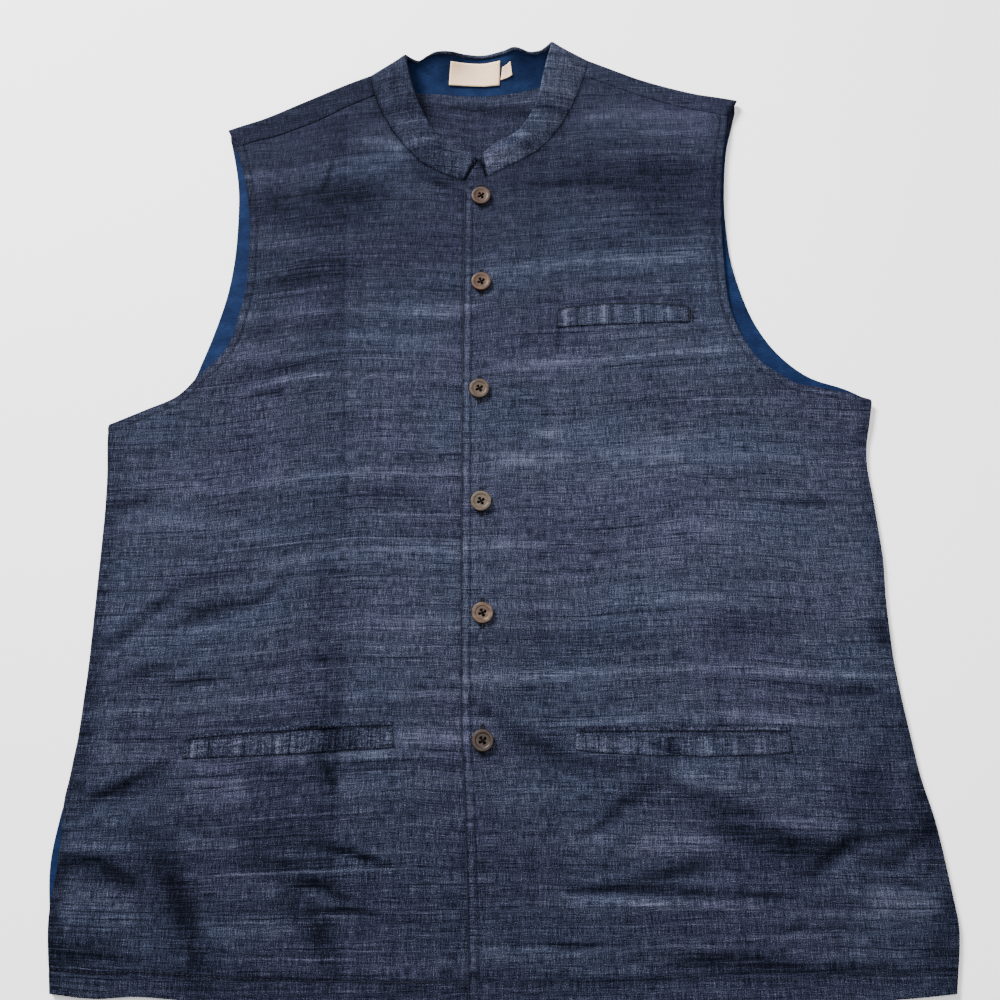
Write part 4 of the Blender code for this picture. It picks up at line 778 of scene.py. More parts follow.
def tone_and_painted_shading(x, up):
    """How much paler or darker than its mean the cloth is: weft bands and slubs, painted shade and
    light of creases, folds and wrinkles, painted shade beside the pressed line, and painted light
    towards the wearer's left.
    """
    x, up = np.asarray(x, float), np.asarray(up, float)
    tone = crease_fields(x, up)[1]
    for where, across, _, past, half_width, amount in lines_near(BANDS, x, up, BAND_MARGIN):
        width_noise = lattice_noise(x[where] / 16.0, np.full(where.sum(), half_width), 91)
        waver = 1 + 0.35 * lattice_noise(x[where] / 9.0, up[where] / 5.0, 92)
        tone[where] += (BAND_GAIN * amount * bell(across, half_width * (1 + 0.35 * width_noise))
                        * bell(past, BAND_FADE) * waver)
    for where, across, _, past, half_width, amount in lines_near(SHADES, x, up, SHADE_MARGIN):
        tone[where] += amount * bell(across, half_width) * bell(past, 0.9 * half_width)
    for centre_x, centre_up, half_length, half_height, amount in SLUBS:
        tone = tone + amount * bell(x - centre_x, half_length) * bell(up - centre_up, half_height)
    # painted light: paler towards the wearer's left, darker towards the right
    tone = tone + 0.022 * np.clip(x / 120.0, -1, 1)
    # painted shade on the outer side of the pressed line
    across, _, past = beside_curve(PRESS, x, up)
    beyond = smooth_step((1.2 - across) / 2.4) * np.exp(-np.maximum(-across, 0.0) / PRESS_WIDTH)
    return tone + PRESS_PAINTED_SHADE * beyond * bell(past, 20.0)


def painted_seam_shading(x, up, outline, lapped):
    """Painted shade in lines where stitches draw the cloth in, along its edges, where it rounds
    away at the side seams and beside the lapping edge, and a paler line between the closing's edge
    and its stitches.
    """
    side = "left" if lapped else "right"
    hole = distance_to(outline[f"armhole_{side}"], x, up)
    side_seam = distance_to(outline[f"side_{side}"], x, up)
    hem = up - hem_up(x) - HEM_STITCH
    neck = distance_to(neck_edge(np.linspace(0, COLLAR_END, 240)), x, up)
    edge = x - x_at_up(outline["closing"], up)
    # Distance, half width, amount.
    lines = [(hole - STITCH_IN, 0.8, -0.16), (hole, 1.6, -0.10), (side_seam, 9.0, -0.13),
             (hem, 0.9, -0.22), (hem, 7.0, -0.03), (neck, 1.3, -0.18), (neck, 6.0, -0.05)]
    if lapped:
        lines += [(edge, 0.7, -0.30), (edge - STITCH_IN, 0.7, -0.20),
                  (edge - EDGE_LIGHT, 1.6, 0.11), (edge - FACING_LINE, 1.6, -0.05)]
    tone = sum(amount * bell(distance, half_width) for distance, half_width, amount in lines)
    # the right front gets painted shadow beside the edge of the left front, which laps over it
    return tone if lapped else tone - 0.10 * bell(edge, 1.1) * (edge < 3)


def fine_height(x, up, outline, lapped):
    """Outer face of the fronts with every crease, stitch line and ripple."""
    z = outer_height(x, up, outline, lapped)
    z = z + sum(ridge(x, up, fold) for fold in FINE_FOLDS)
    z = z + rumple(x, up) + crease_fields(np.asarray(x, float), np.asarray(up, float))[0]
    hole = distance_to(outline["armhole_left" if lapped else "armhole_right"], x, up)
    for distance, at, seed in ((hole, STITCH_IN, 21), (up - hem_up(x), HEM_STITCH, 22)):
        z = z - STITCH_DEPTH * bell(distance - at, STITCH_WIDTH)
        z = z + pucker(x + up, distance, at, 0.22, seed)
    if lapped:
        edge = x - x_at_up(outline["closing"], up)
        z = z - STITCH_DEPTH * bell(edge - STITCH_IN, STITCH_WIDTH)
        z = z + pucker(up, edge, STITCH_IN, 0.2, 23)
        z = z - 0.2 * bell(edge - FACING_LINE, 2.5)
    else:
        edge = x_at_up(outline["closing"], up) - x
        z = z - 0.9 * bell(np.maximum(edge, 0.0), 1.1)
    for name, (low_a, low_b, high_b, *_) in WELTS.items():
        if "welt" in name and ("right" in name) == (not lapped):
            centre_x, centre_up = (low_a[0] + low_b[0]) / 2, (low_a[1] + high_b[1]) / 2
            half_width = (low_b[0] - low_a[0]) / 2 + POCKET_BESIDE
            reach = np.hypot((x - centre_x) / half_width, (up - centre_up) / POCKET_HALF_HEIGHT)
            z = z + POCKET_RISE * smooth_step((1.5 - reach) / 0.7)
    return np.maximum(z, FRONT_Z + 0.05)


# ---------------------------------------------------------------- building meshes

def world(x, up, z):
    return np.stack([x * MM, (up - LENGTH / 2) * MM, z * MM], axis=-1)


def plan_of(grid):
    """x and up, in millimetres, of points in metres."""
    return grid[..., 0] / MM, grid[..., 1] / MM + LENGTH / 2


def grid_normals(grid):
    normal = np.cross(np.gradient(grid, axis=1), np.gradient(grid, axis=0))
    return normal / np.maximum(np.linalg.norm(normal, axis=-1, keepdims=True), 1e-12)


def edge_distance(grid, sides="lrbt"):
    """Distance of each grid point, 1 at most, from the borders left, right, bottom and top."""
    borders = {"l": grid[:, :1], "r": grid[:, -1:], "b": grid[:1], "t": grid[-1:]}
    gaps = [np.linalg.norm(grid - borders[side], axis=-1) for side in sides]
    return np.minimum(1.0, np.minimum.reduce(gaps))


def rounding(distance, radius):
    inner = np.clip(radius - distance, 0.0, radius)
    return radius - np.sqrt(np.maximum(radius * radius - inner * inner, 0.0))


def add_object(name, data):
    obj = bpy.data.objects.new(name, data)
    bpy.context.scene.collection.objects.link(obj)
    return obj


def add_mesh(name, points, faces, weave=None, tone=None):
    """A smooth mesh that rides on the body, with what its cloth's material reads."""
    mesh = bpy.data.meshes.new(name)
    mesh.from_pydata(points.tolist(), [], faces)
    for field, kind, key, values in (("weave", "FLOAT_VECTOR", "vector", weave),
                                     ("tone", "FLOAT", "value", tone)):
        if values is not None:
            layer = mesh.attributes.new(field, kind, "POINT")
            layer.data.foreach_set(key, np.ascontiguousarray(values, np.float32).ravel())
    mesh.polygons.foreach_set("use_smooth", np.ones(len(mesh.polygons), bool))
    mesh.update()
    obj = add_object(name, mesh)
    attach(obj, "root")
    return obj


def mesh_of(name, bm):
    mesh = bpy.data.meshes.new(name)
    bm.to_mesh(mesh)
    bm.free()
    return mesh


def quads(index):
    """The squares between the numbered points of a grid."""
    corners = [index[:-1, :-1], index[:-1, 1:], index[1:, 1:], index[1:, :-1]]
    return np.stack(corners, -1).reshape(-1, 4)


def shell_of(name, outer, inner, weave, tone=None, flip=True):
    """Closes the space between a grid of outer points and one of inner points."""
    index = np.arange(outer[..., 0].size).reshape(outer.shape[:2])
    quad, inside = quads(index), index.size
    border = np.concatenate([index[0, :], index[1:, -1], index[-1, -2::-1], index[-2:0:-1, 0]])
    following = np.roll(border, -1)
    rim = np.stack([border, border + inside, following + inside, following], -1)
    faces = np.concatenate([quad, quad[:, ::-1] + inside, rim])
    twice = lambda field: None if field is None else np.concatenate([field, field])
    return add_mesh(name, np.concatenate([outer, inner]).reshape(-1, 3),
                    (faces[:, ::-1] if flip else faces).tolist(), twice(weave), twice(tone))


def closed_sheet(name, outer, thickness, weave, upward, radius=None, tone=None):
    """A sheet of this thickness below its outer grid, with its edges rounded."""
    normal = grid_normals(outer) * (1.0 if upward else -1.0)
    depth = thickness * MM
    radius = depth / 2 if radius is None else radius * MM
    drop = rounding(edge_distance(outer), radius)[..., None]
    under = outer - normal * (depth - np.minimum(drop, depth * 0.45))
    return shell_of(name, outer - normal * drop, under, weave, tone, flip=not upward)


def surface_area(grid):
    a, b, c, d = grid[:-1, :-1], grid[:-1, 1:], grid[1:, 1:], grid[1:, :-1]
    return float((np.linalg.norm(np.cross(b - a, c - a), axis=-1)
                  + np.linalg.norm(np.cross(c - a, d - a), axis=-1)).sum() / 2)


def declare_sheet(obj, width, length, node=None):
    """Hides the sheet's node, if one is given, and returns the sheet; its width and length, in
    metres, are not used beyond raising the smallest to 10 mm.
    """
    width, length = max(width, 0.0101), max(length, 0.0101)
    if node:
        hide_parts(node)
    return obj


def weft_rise(x, up):
    """How far a weft thread stands above its own height near the closing edge."""
    heights, lines = zip(*WEFT_LINES)
    stations = np.linspace(-300.0, 300.0, len(lines[0]))
    rises = np.array([np.interp(x, stations, line) for line in lines])
    place = np.interp(up, heights, np.arange(len(heights)))
    low = np.minimum(place.astype(int), len(heights) - 2)
    share = smooth_step(place - low)
    at_row = lambda row: np.take_along_axis(rises, row[None], 0)[0]
    return at_row(low) * (1 - share) + at_row(low + 1) * share


def flat_weave(x, up, offset=0.0, turned=False, step=0.0):
    """Weave coordinates in metres: along the weft, along the warp, and a piece's own offset."""
    u, v = x * MM, (up - weft_rise(x, up) + step) * MM
    return np.stack([*((v, u) if turned else (u, v)), np.full_like(u, offset)], -1)


def border_shares(length, count, border=CLOSE_ROWS):
    """Shares along a line of this length, close together at both ends."""
    close = np.array(border) / length
    evenly_spaced = np.linspace(close[-1], 1 - close[-1], count + 1)[1:-1]
    return np.concatenate([close, evenly_spaced, 1 - close[::-1]])


def resample_rows(plan, count):
    """The plan with this many rows in the middle, and close ones at its first and last."""
    length = np.linalg.norm(np.diff(plan, axis=0), axis=2).sum(axis=0).mean()
    where = border_shares(length, count) * (len(plan) - 1)
    low = np.minimum(where.astype(int), len(plan) - 2)
    part = (where - low)[:, None, None]
    return plan[low] * (1 - part) + plan[low + 1] * part


def drop_to_hem(plan, rows):
    """Moves the plan's first row to the hem, and this many rows above it less and less."""
    hem_rise = hem_up(plan[0, :, 0]) - plan[0, :, 1]
    fade = np.clip(1 - np.arange(len(plan)) / rows, 0, 1) ** 2
    plan[:, :, 1] += fade[:, None] * hem_rise


# ---------------------------------------------------------------- fronts

def front_row_ends(outline, side):
    """Outer and inner ends of a front's rows, from the hem to the shoulder seam."""
    edge, armhole, centre = outline[f"side_{side}"], outline[f"armhole_{side}"], outline["closing"]
    neck = neck_edge(np.linspace(COLLAR_END, LEFT_SEAM, NECK_ROWS + 1))
    if side == "right":
        edge = edge + np.column_stack([vent_inset(edge[:, 1]), np.zeros(len(edge))])
        centre = centre + (OVERLAP, 0.0)
        centre[:, 1] -= UNDER_DIP * smooth_step((centre[:, 1] - UNDER_DIP_UP) / UNDER_DIP_OVER)
        neck = neck_edge(np.linspace(0, RIGHT_SEAM, NECK_ROWS + 1))
    hole_marks = (0, length_at_up(armhole, UNDERARM_UP), length_at_up(armhole, CHEST_UP),
                  arc_length(armhole)[-1])
    centre_marks = (0, length_at_up(centre, edge[-1, 1]), length_at_up(centre, UNDERARM_UP),
                    arc_length(centre)[-1])
    counts = (BODY_ROWS, UNDERARM_ROWS, CHEST_ROWS, NECK_ROWS + 1)
    outer = [evenly(edge, BODY_ROWS)[:-1], stretches(armhole, hole_marks, counts[1:], last=True)]
    inner = [stretches(centre, centre_marks, counts[:-1]), centre[-1:], neck]
    return np.vstack(outer), np.vstack(inner)


def front_plan(outline, side):
    outer, inner = front_row_ends(outline, side)
    width = np.linalg.norm(inner - outer, axis=1).mean()
    share = border_shares(width, FRONT_COLUMNS, SEWN_BORDER)[None, :, None]
    plan = outer[:, None, :] + (inner - outer)[:, None, :] * share
    drop_to_hem(plan, BODY_ROWS)
    sag = SEAM_SAG * np.sin(np.pi * share[0, :, 0])
    last_rows = np.clip((np.arange(len(plan)) - len(plan) + 1 + NECK_ROWS) / NECK_ROWS, 0, 1)
    plan[:, :, 1] -= last_rows[:, None] ** 2 * sag
    return resample_rows(plan, FRONT_LINES)


def make_front(outline, side):
    lapped = side == "left"
    plan = front_plan(outline, side)
    x, up = plan[..., 0], plan[..., 1]
    grid = world(x, up, fine_height(x, up, outline, lapped))
    tone = tone_and_painted_shading(x, up) + painted_seam_shading(x, up, outline, lapped)
    weave = flat_weave(x, up, step=0.0 if lapped else WEFT_STEP_RIGHT)
    obj = closed_sheet(f"front_{side}_cloth", grid, CLOTH - 0.1, weave, upward=not lapped,
                       radius=ROUND_EDGE, tone=tone)
    return declare_sheet(obj, np.ptp(x) * MM, np.ptp(up) * MM,
                         f"front_{side}")


# ---------------------------------------------------------------- back

def shoulder_lines(stations, armhole_end, neck_stations):
    """Fold, start of its turn, middle of the strip and seam of a shoulder, tip to neck, in plan."""
    seam_neck, strip_neck, turn_neck, fold_neck = neck_edge(neck_stations)
    fold = evenly(smooth_curve(stations + (tuple(fold_neck),)), SHOULDER_COLUMNS)
    share = np.linspace(0, 1, SHOULDER_COLUMNS + 1)
    seam = armhole_end + (seam_neck - armhole_end) * share[:, None]
    seam[:, 1] -= SEAM_SAG * np.sin(np.pi * share)
    to_seam = seam - fold
    to_seam /= np.linalg.norm(to_seam, axis=1)[:, None]
    turn = fold + FOLD_REACH * to_seam
    turn += (turn_neck - turn[-1]) * share[:, None]
    seam -= SEAM_GAP * to_seam
    middle = (turn + seam) / 2
    middle += (strip_neck - middle[-1]) * share[:, None]
    return fold, turn, middle, seam


def flat_back_plan(outline, top_edge):
    """Plan of the back as it lies, from the hem to the turn of the shoulders and the neck."""
    share = np.linspace(0, 1, len(top_edge))[:, None]
    sides = []
    for side, armhole in (("right", ARMHOLE_BACK_RIGHT), ("left", ARMHOLE_BACK_LEFT)):
        hole = smooth_curve(armhole)
        marks = (0, length_at_up(hole, CHEST_UP), arc_length(hole)[-1] - FOLD_REACH)
        sides.append(np.vstack([evenly(outline[f"side_{side}"], BACK_ROWS)[:-1],
                                stretches(hole, marks, (ARMHOLE_ROWS, YOKE_ROWS), last=True)]))
    right, left = sides
    plan = right[:, None, :] + (left - right)[:, None, :] * share[None]
    drop_to_hem(plan, BACK_ROWS)
    base = len(plan) - 1 - YOKE_ROWS
    for row in range(base + 1, len(plan)):
        part = (row - base) / YOKE_ROWS
        mixed = plan[base] * (1 - part) + top_edge * part
        plan[row] = mixed + (right[row] - mixed[0]) * (1 - share) + (left[row] - mixed[-1]) * share
    plan[-1] = top_edge
    return plan


def strip_rows(outline, fold, turn, middle, seam):
    """Rows over the shoulder fold and down to the seam: their points and their plan."""
    rows, plans = [], []
    height = outer_height(*turn.T, outline, lapped=False)
    for angle in np.linspace(-math.pi / 2, math.pi / 2, FOLD_STEPS + 1)[1:]:
        plans.append(turn + (fold - turn) * math.cos(angle))
        rows.append(world(*plans[-1].T, height * (1 + math.sin(angle)) / 2))
    for part in np.linspace(0, 1, STRIP_STEPS + 1)[1:]:
        plan = turn * (1 - part) ** 2 + middle * 2 * part * (1 - part) + seam * part * part
        z = outer_height(*plan.T, outline, lapped=False)
        z = z + rumple(*plan.T) * math.sin(math.pi * part)
        z = z - rounding(np.linalg.norm(plan - seam, axis=1), ROUND_EDGE)
        plans.append(plan)
        rows.append(world(*plan.T, z))
    return np.array(rows), np.array(plans)


def make_back(outline):
    right = shoulder_lines(SHOULDER_RIGHT, outline["armhole_right"][-1],
                           (RIGHT_SEAM, RIGHT_SEAM + 1, RIGHT_FOLD, RIGHT_FOLD + 1))
    left = shoulder_lines(SHOULDER_LEFT, outline["armhole_left"][-1],
                          (LEFT_SEAM, LEFT_SEAM - 1, LEFT_FOLD, LEFT_FOLD - 1))
    neck = neck_edge(np.linspace(RIGHT_BACK, LEFT_BACK, NECK_COLUMNS + 1))
    flat = flat_back_plan(outline, np.vstack([right[1][:-1], neck, left[1][::-1][1:]]))
    x, up = flat[..., 0], flat[..., 1]
    lift = sum(np.maximum(ridge(x, up, fold), 0) for fold in BACK_FOLDS)
    lift = lift + 0.1 * (1 + lattice_noise(x / 40.0, up / 17.0, 31))
    grids, plans = [world(x, up, lift * smooth_step(edge_distance(flat) / 25.0))], [flat]
    index = np.arange(x.size).reshape(x.shape)
    faces, count = [quads(index)[:, ::-1]], index.size
    for lines, top_row in ((right, index[-1]), (left, index[-1, ::-1])):
        rows, plan = strip_rows(outline, *lines)
        fresh = count + np.arange(rows[..., 0].size).reshape(rows.shape[:2])
        count += fresh.size
        quad = quads(np.vstack([top_row[:SHOULDER_COLUMNS + 1], fresh]))
        faces.append(quad[:, ::-1] if lines is right else quad)
        grids.append(rows)
        plans.append(plan)
    plan = np.concatenate([plan.reshape(-1, 2) for plan in plans])
    points = np.concatenate([grid.reshape(-1, 3) for grid in grids])
    tone = tone_and_painted_shading(*plan.T) - 0.05 + 0.05 * np.clip(plan[:, 0] / 60.0, -1, 1)
    obj = add_mesh("back_cloth", points, np.concatenate(faces).tolist(),
                   flat_weave(*plan.T, 3.0), tone)
    solidify = obj.modifiers.new("cloth thickness", "SOLIDIFY")
    solidify.thickness = BACK_CLOTH * MM
    solidify.offset = -1.0
    solidify.use_even_offset = True
    area = sum(surface_area(grid) for grid in grids)
    return declare_sheet(obj, np.ptp(x) * MM, (np.ptp(up) + 30) * MM, node="back")


# ---------------------------------------------------------------- collar

def patch_share(corners, x, up, softness):
    """Share from 0 outside a convex patch, listed clockwise, to 1 inside it."""
    gaps = [((x - ax) * (bu - au) - (up - au) * (bx - ax)) / math.hypot(bx - ax, bu - au)
            for (ax, au), (bx, bu) in zip(corners, corners[1:] + corners[:1])]
    return smooth_step(np.minimum.reduce(gaps) / softness + 0.5)


def collar_columns():
    """The collar's stations, with more columns where it turns over the shoulders."""
    marks = (0, RIGHT_FOLD, RIGHT_BACK, LEFT_BACK, LEFT_FOLD, COLLAR_END)
    parts = [np.linspace(*ends, count + 1)[1:]
             for *ends, count in zip(marks, marks[1:], COLLAR_COLUMNS)]
    return np.concatenate([[0.0], *parts])


def collar_surface(outline, stations, shares):
    """Outer face of the collar, a row of points for each share of its height."""
    base, top, wrap = collar_base(stations)
    top_z = spline_at(COLLAR, stations)[:, 5]
    on_left = stations > (RIGHT_BACK + LEFT_BACK) / 2
    front_z = np.where(on_left, outer_height(*base.T, outline, lapped=True),
                       outer_height(*base.T, outline, lapped=False))
    base_z = COLLAR_BACK_Z + (front_z - COLLAR_BACK_Z) * wrap
    share = np.asarray(shares)[:, None]
    x = base[:, 0] + (top[:, 0] - base[:, 0]) * share
    up = base[:, 1] + (top[:, 1] - base[:, 1]) * share
    z = base_z + (top_z - base_z) * share ** (COLLAR_ROLL + (1 - COLLAR_ROLL) * wrap)
    z = z + COLLAR_BULGE * np.sin(np.pi * share) * (2 * wrap - 1).clip(0, 1)
    relief = sum(ridge(x, up, fold) for fold in COLLAR_FOLDS) + 0.5 * rumple(x, up, 51)
    return world(x, up, z + relief * wrap * np.sin(np.pi * np.clip(share, 0, 1)) ** 0.5)


def make_collar(outline):
    stations = collar_columns()
    base, top, _ = collar_base(stations)
    height = np.linalg.norm(top - base, axis=1).mean()
    low = np.array((0.0, 0.15, 0.4, 0.8, 1.5)) / height
    high = np.linspace(low[-1], 1 - COLLAR_ROLL_RADIUS / height, 26)
    face = collar_surface(outline, stations, np.concatenate([low, high[1:]]))
    inner = grid_normals(face)
    face = face + inner * rounding(edge_distance(face, "b"), ROUND_EDGE * MM)[..., None]
    # The cloth rolls over the top edge and a little way down inside.
    rise = face[-1] - face[-2]
    rise /= np.linalg.norm(rise, axis=1)[:, None]
    radius = COLLAR_ROLL_RADIUS * MM
    rolled = [face[-1] + radius * (math.sin(a) * rise + (1 - math.cos(a)) * inner[-1])
              for a in np.linspace(0, math.pi, 9)[1:]]
    rolled += [rolled[-1] - rise * down * MM for down in COLLAR_TURNED_IN]
    grid = np.concatenate([face, np.array(rolled)])
    normal = grid_normals(grid)
    ends = rounding(edge_distance(grid, "lr"), 0.45 * MM)[..., None]
    x, up = plan_of(grid)
    seam = edge_distance(grid, "b") / MM
    across, _, past = beside_curve(COLLAR_BEND_SHADE, x, up)
    # painted shade along the collar's base seam
    tone = tone_and_painted_shading(x, up) - 0.20 * bell(seam, 1.2) - 0.05 * bell(seam, 5.0)
    # painted shade on the right half, painted light on the left half
    tone = tone + np.interp(x, (-60.0, 10.0), COLLAR_PAINTED_LIGHT)
    # painted highlight on the bent corner, and painted shade along the bend beside it
    tone = tone + 0.06 * patch_share(COLLAR_FACET_HIGHLIGHT, x, up, 2.0) * (x > -16.0)
    tone = tone - 0.15 * bell(across, 3.0) * bell(past, 4.0)
    obj = shell_of("collar_cloth", grid + normal * ends, grid + normal * (COLLAR_LAYER * MM),
                   flat_weave(x, up, 5.0), tone)
    return declare_sheet(obj, 0.48, 0.05, node="collar")


def make_collar_lining(outline):
    stations = collar_columns()
    stations = stations[(stations > 0.05) & (stations < COLLAR_END - 0.05)]
    face = collar_surface(outline, stations, LINING_SHARES)
    normal = grid_normals(face)
    x, up = plan_of(face)
    ease = 0.25 * lattice_noise(x / 13.0, up / 7.0, 61) * np.sin(np.pi * LINING_SHARES)[:, None]
    outer = face + normal * (LINING_DEPTH * MM)
    under = face + normal * (LINING_DEPTH * MM + (LINING - 0.3 + ease * 0.6)[..., None] * MM)
    obj = shell_of("collar_lining_cloth", outer, under, flat_weave(x, up, 7.0))
    return declare_sheet(obj, 0.47, 0.045, "collar_lining")


def make_button_stand():
    """The end of the under front's button stand, which shows in the collar's notch."""
    high = np.linspace(0, 1, 24)[:, None]
    along = np.linspace(0, 1, 20)[None, :]
    rise = STAND_HEIGHT * high
    left, right = (foot + shift * np.clip((rise - start) / over, 0, 1)
                   for foot, shift, start, over in STAND_EDGES)
    x = left + (right - left) * along
    up = STAND_UP + rise + 0.8 * np.sin(np.pi * along) * high
    grid = world(x, up, 8.5 - 1.9 * (rise / 20.5) ** 1.5 + 0.3 * np.sin(np.pi * along))
    # painted shade in the collar's notch, deeper towards the top, under the collar's ends
    tone = tone_and_painted_shading(x, up) - 0.10 - 0.12 * smooth_step((rise - 8.0) / 12.0)
    obj = closed_sheet("button_stand_end", grid, 0.8, flat_weave(x, up, 2.0), upward=True,
                       radius=0.4, tone=tone)
    return declare_sheet(obj, np.ptp(x) * MM, np.ptp(up) * MM)


# ---------------------------------------------------------------- labels

def grid_point(grid, stations, shares, station, share):
    column = np.array([[np.interp(station, stations, axis) for axis in row.T] for row in grid])
    return [np.interp(share, shares, axis) for axis in column.T]


def make_labels(outline):
    stations = collar_columns()
    stations = stations[(stations > RIGHT_BACK) & (stations <= LEFT_BACK)]
    face = collar_surface(outline, stations, LINING_SHARES)
    normal = grid_normals(face)
    along, high = np.meshgrid(np.linspace(0, 1, 33), np.linspace(0, 1, 15))
    # The tapes stand off the lining a little along their lower edges.
    stand = 0.6 * (1 - high) ** 2 * np.sin(np.pi * along) ** 0.5 + 0.2 * np.sin(7.0 * along + 1.0)
    weave = np.stack([along * 0.04, high * 0.02, np.full_like(along, 9.0)], -1)
    made = []
    for name, corners in LABELS.items():
        low_start, low_end, high_start, high_end = np.array(corners)
        lift = LINING_DEPTH + LINING + (0.35 if name == "label_main" else 0.1)
        grid = face + normal * lift * MM
        start = low_start + (high_start - low_start) * high[..., None]
        end = low_end + (high_end - low_end) * high[..., None]
        spots = start + (end - start) * along[..., None]
        rows = np.array([[grid_point(grid, stations, LINING_SHARES, *spot) for spot in row]
                         for row in spots])
        off = grid_normals(rows)
        rows = rows + off * stand[..., None] * MM
        obj = shell_of(f"{name}_tape", rows, rows - off * 0.35 * MM, weave, flip=False)
        made.append(declare_sheet(obj, np.linalg.norm(rows[0, -1] - rows[0, 0]),
                                  np.linalg.norm(rows[-1, 0] - rows[0, 0]),
                                  name))
    return made


# ---------------------------------------------------------------- linings, facing and welts

def flat_strip(node, outer, inner, rows, offset, relief, tone=None):
    """A strip of lining or facing between two lines, on the back."""
    share = border_shares(np.linalg.norm(inner - outer, axis=1).mean(), rows)[:, None, None]
    plan = outer[None] + (inner - outer)[None] * share
    x, up = plan[..., 0], plan[..., 1]
    grid = world(x, up, LINING_Z + LINING + relief * (lattice_noise(x / 12.0, up / 10.0, 71) - 1))
    along, across = plan[0, 1] - plan[0, 0], plan[1, 0] - plan[0, 0]
    obj = closed_sheet(f"{node}_cloth", grid, LINING - 0.3, flat_weave(x, up, offset),
                       along[0] * across[1] - along[1] * across[0] > 0, tone=tone and tone(x, up))
    return declare_sheet(obj, arc_length(outer)[-1] * MM,
                         np.linalg.norm(inner - outer, axis=1).max() * MM,
                         node)


def make_linings(outline):
    made = []
    for side, back, front, turn, low, high in ARMHOLE_LININGS:
        curves = (offset_curve(smooth_curve(back), turn * EDGE_ROLL),
                  offset_curve(smooth_curve(front), turn * LINING_TUCK))
        ends = [pick(curve, low * arc_length(curve)[-1], high * arc_length(curve)[-1], 110)
                for curve in curves]
        made.append(flat_strip(f"armhole_lining_{side}", *ends, 10, 11.0, 0.12))
    outer = evenly(outline["vent"], 50)
    inner = outer + np.column_stack([vent_inset(outer[:, 1]) + LINING_TUCK, np.zeros(len(outer))])
    return made + [flat_strip("vent_lining", outer + (EDGE_ROLL, 0.0), inner, 10, 13.0, 0.1)]


def make_neck_facing():
    upper = neck_edge(np.linspace(RIGHT_BACK + 1, LEFT_BACK - 2, 90), -0.4)
    lower = evenly(smooth_curve(FACING_EDGE), len(upper) - 1)
    return flat_strip("neck_facing", upper, lower, 40, 4.0, 0.2, tone_and_painted_shading)


def welt_tone_and_edge_shade(name, x, up, grid):
    gain = 0.4 if "jet" in name else 1.0
    tone = tone_and_painted_shading(x, up)
    # painted shade along the welt's top, bottom and end edges, less on a jet
    for sides, width, amount in (("t", 0.7, 0.24), ("b", 0.6, 0.08), ("lr", 0.8, 0.16)):
        tone = tone - amount * gain * bell(edge_distance(grid, sides) / MM, width)
    waver = 1 + 0.3 * lattice_noise(x / 30.0, up / 4.0, 83)
    for centre, half_width, amount in WELT_STREAKS.get(name, ()):
        tone = tone + amount * waver * bell(x - centre, half_width)
    return tone


def welt_plan(low_a, low_b, high_b, high_a, low_bow, high_bow, columns, rows):
    share = border_shares(low_b[0] - low_a[0], columns)
    arch = (4 * share * (1 - share)) ** 0.6
    edges = []
    for start, end, bow in ((low_a, low_b, low_bow), (high_a, high_b, high_bow)):
        row = np.outer(1 - share, start) + np.outer(share, end)
        row[:, 1] += bow * arch
        edges.append(row)
    low, high = edges
    height = np.linalg.norm(high - low, axis=1).mean()
    part = border_shares(height, rows, (0.0, 0.08, 0.22, 0.45, 0.8))[:, None, None]
    return low[None] + (high - low)[None] * part


def make_welts(outline):
    made = []
    for name, corners in WELTS.items():
        jet, side = "jet" in name, "right" if "right" in name else "left"
        plan = welt_plan(*corners, 110, 5 if jet else 26)
        x, up = plan[..., 0], plan[..., 1]
        z = fine_height(x, up, outline, side == "left") + WELT_LIFT - WELT_SINK
        grid = world(x, up, z + 0.12 * lattice_noise(x / 5.0, up / 14.0, 81))
        weave = flat_weave(x, up, 15.0 + x[0, 0], turned=not jet)
        obj = closed_sheet(f"{name}_cloth", grid, LINING, weave, upward=True, radius=0.45,
                           tone=welt_tone_and_edge_shade(name, x, up, grid))
        made.append(declare_sheet(obj, np.ptp(x) * MM, np.ptp(up) * MM,
                                  name))
    return made


# ---------------------------------------------------------------- buttons

def tube(path, radius, sides):
    """Points and faces of a round cord along a path of points in metres."""
    path = np.asarray(path, float)
    along = np.gradient(path, axis=0)
    along /= np.linalg.norm(along, axis=1)[:, None]
    lead = np.array((0.0, 0.0, 1.0)) if abs(along[0][2]) < 0.8 else np.array((1.0, 0.0, 0.0))
    side = np.cross(along, lead)
    side /= np.linalg.norm(side, axis=1)[:, None]
    other = np.cross(side, along)
    radius = np.broadcast_to(radius, len(path))
    angles = np.linspace(0, 2 * math.pi, sides, endpoint=False)
    cosine, sine = np.cos(angles)[None, :, None], np.sin(angles)[None, :, None]
    ring = path[:, None] + radius[:, None, None] * (cosine * side[:, None] + sine * other[:, None])
    index = np.arange(len(path) * sides).reshape(len(path), sides)
    beside = np.roll(index, -1, axis=1)
    round_it = np.stack([index[:-1], index[1:], beside[1:], beside[:-1]], -1).reshape(-1, 4)
    return ring.reshape(-1, 3), round_it.tolist() + [index[0].tolist(), index[-1][::-1].tolist()]


class Cords:
    """Many short cords gathered in one mesh."""

    def __init__(self):
        self.points, self.faces, self.count = [], [], 0

    def add(self, path, radius, sides=6):
        points, faces = tube(path, radius, sides)
        self.points.append(points)
        self.faces += [[index + self.count for index in face] for face in faces]
        self.count += len(points)

    def mesh(self, name, material):
        obj = add_mesh(name, np.concatenate(self.points), self.faces)
        dress([obj], material, "self_fabric")


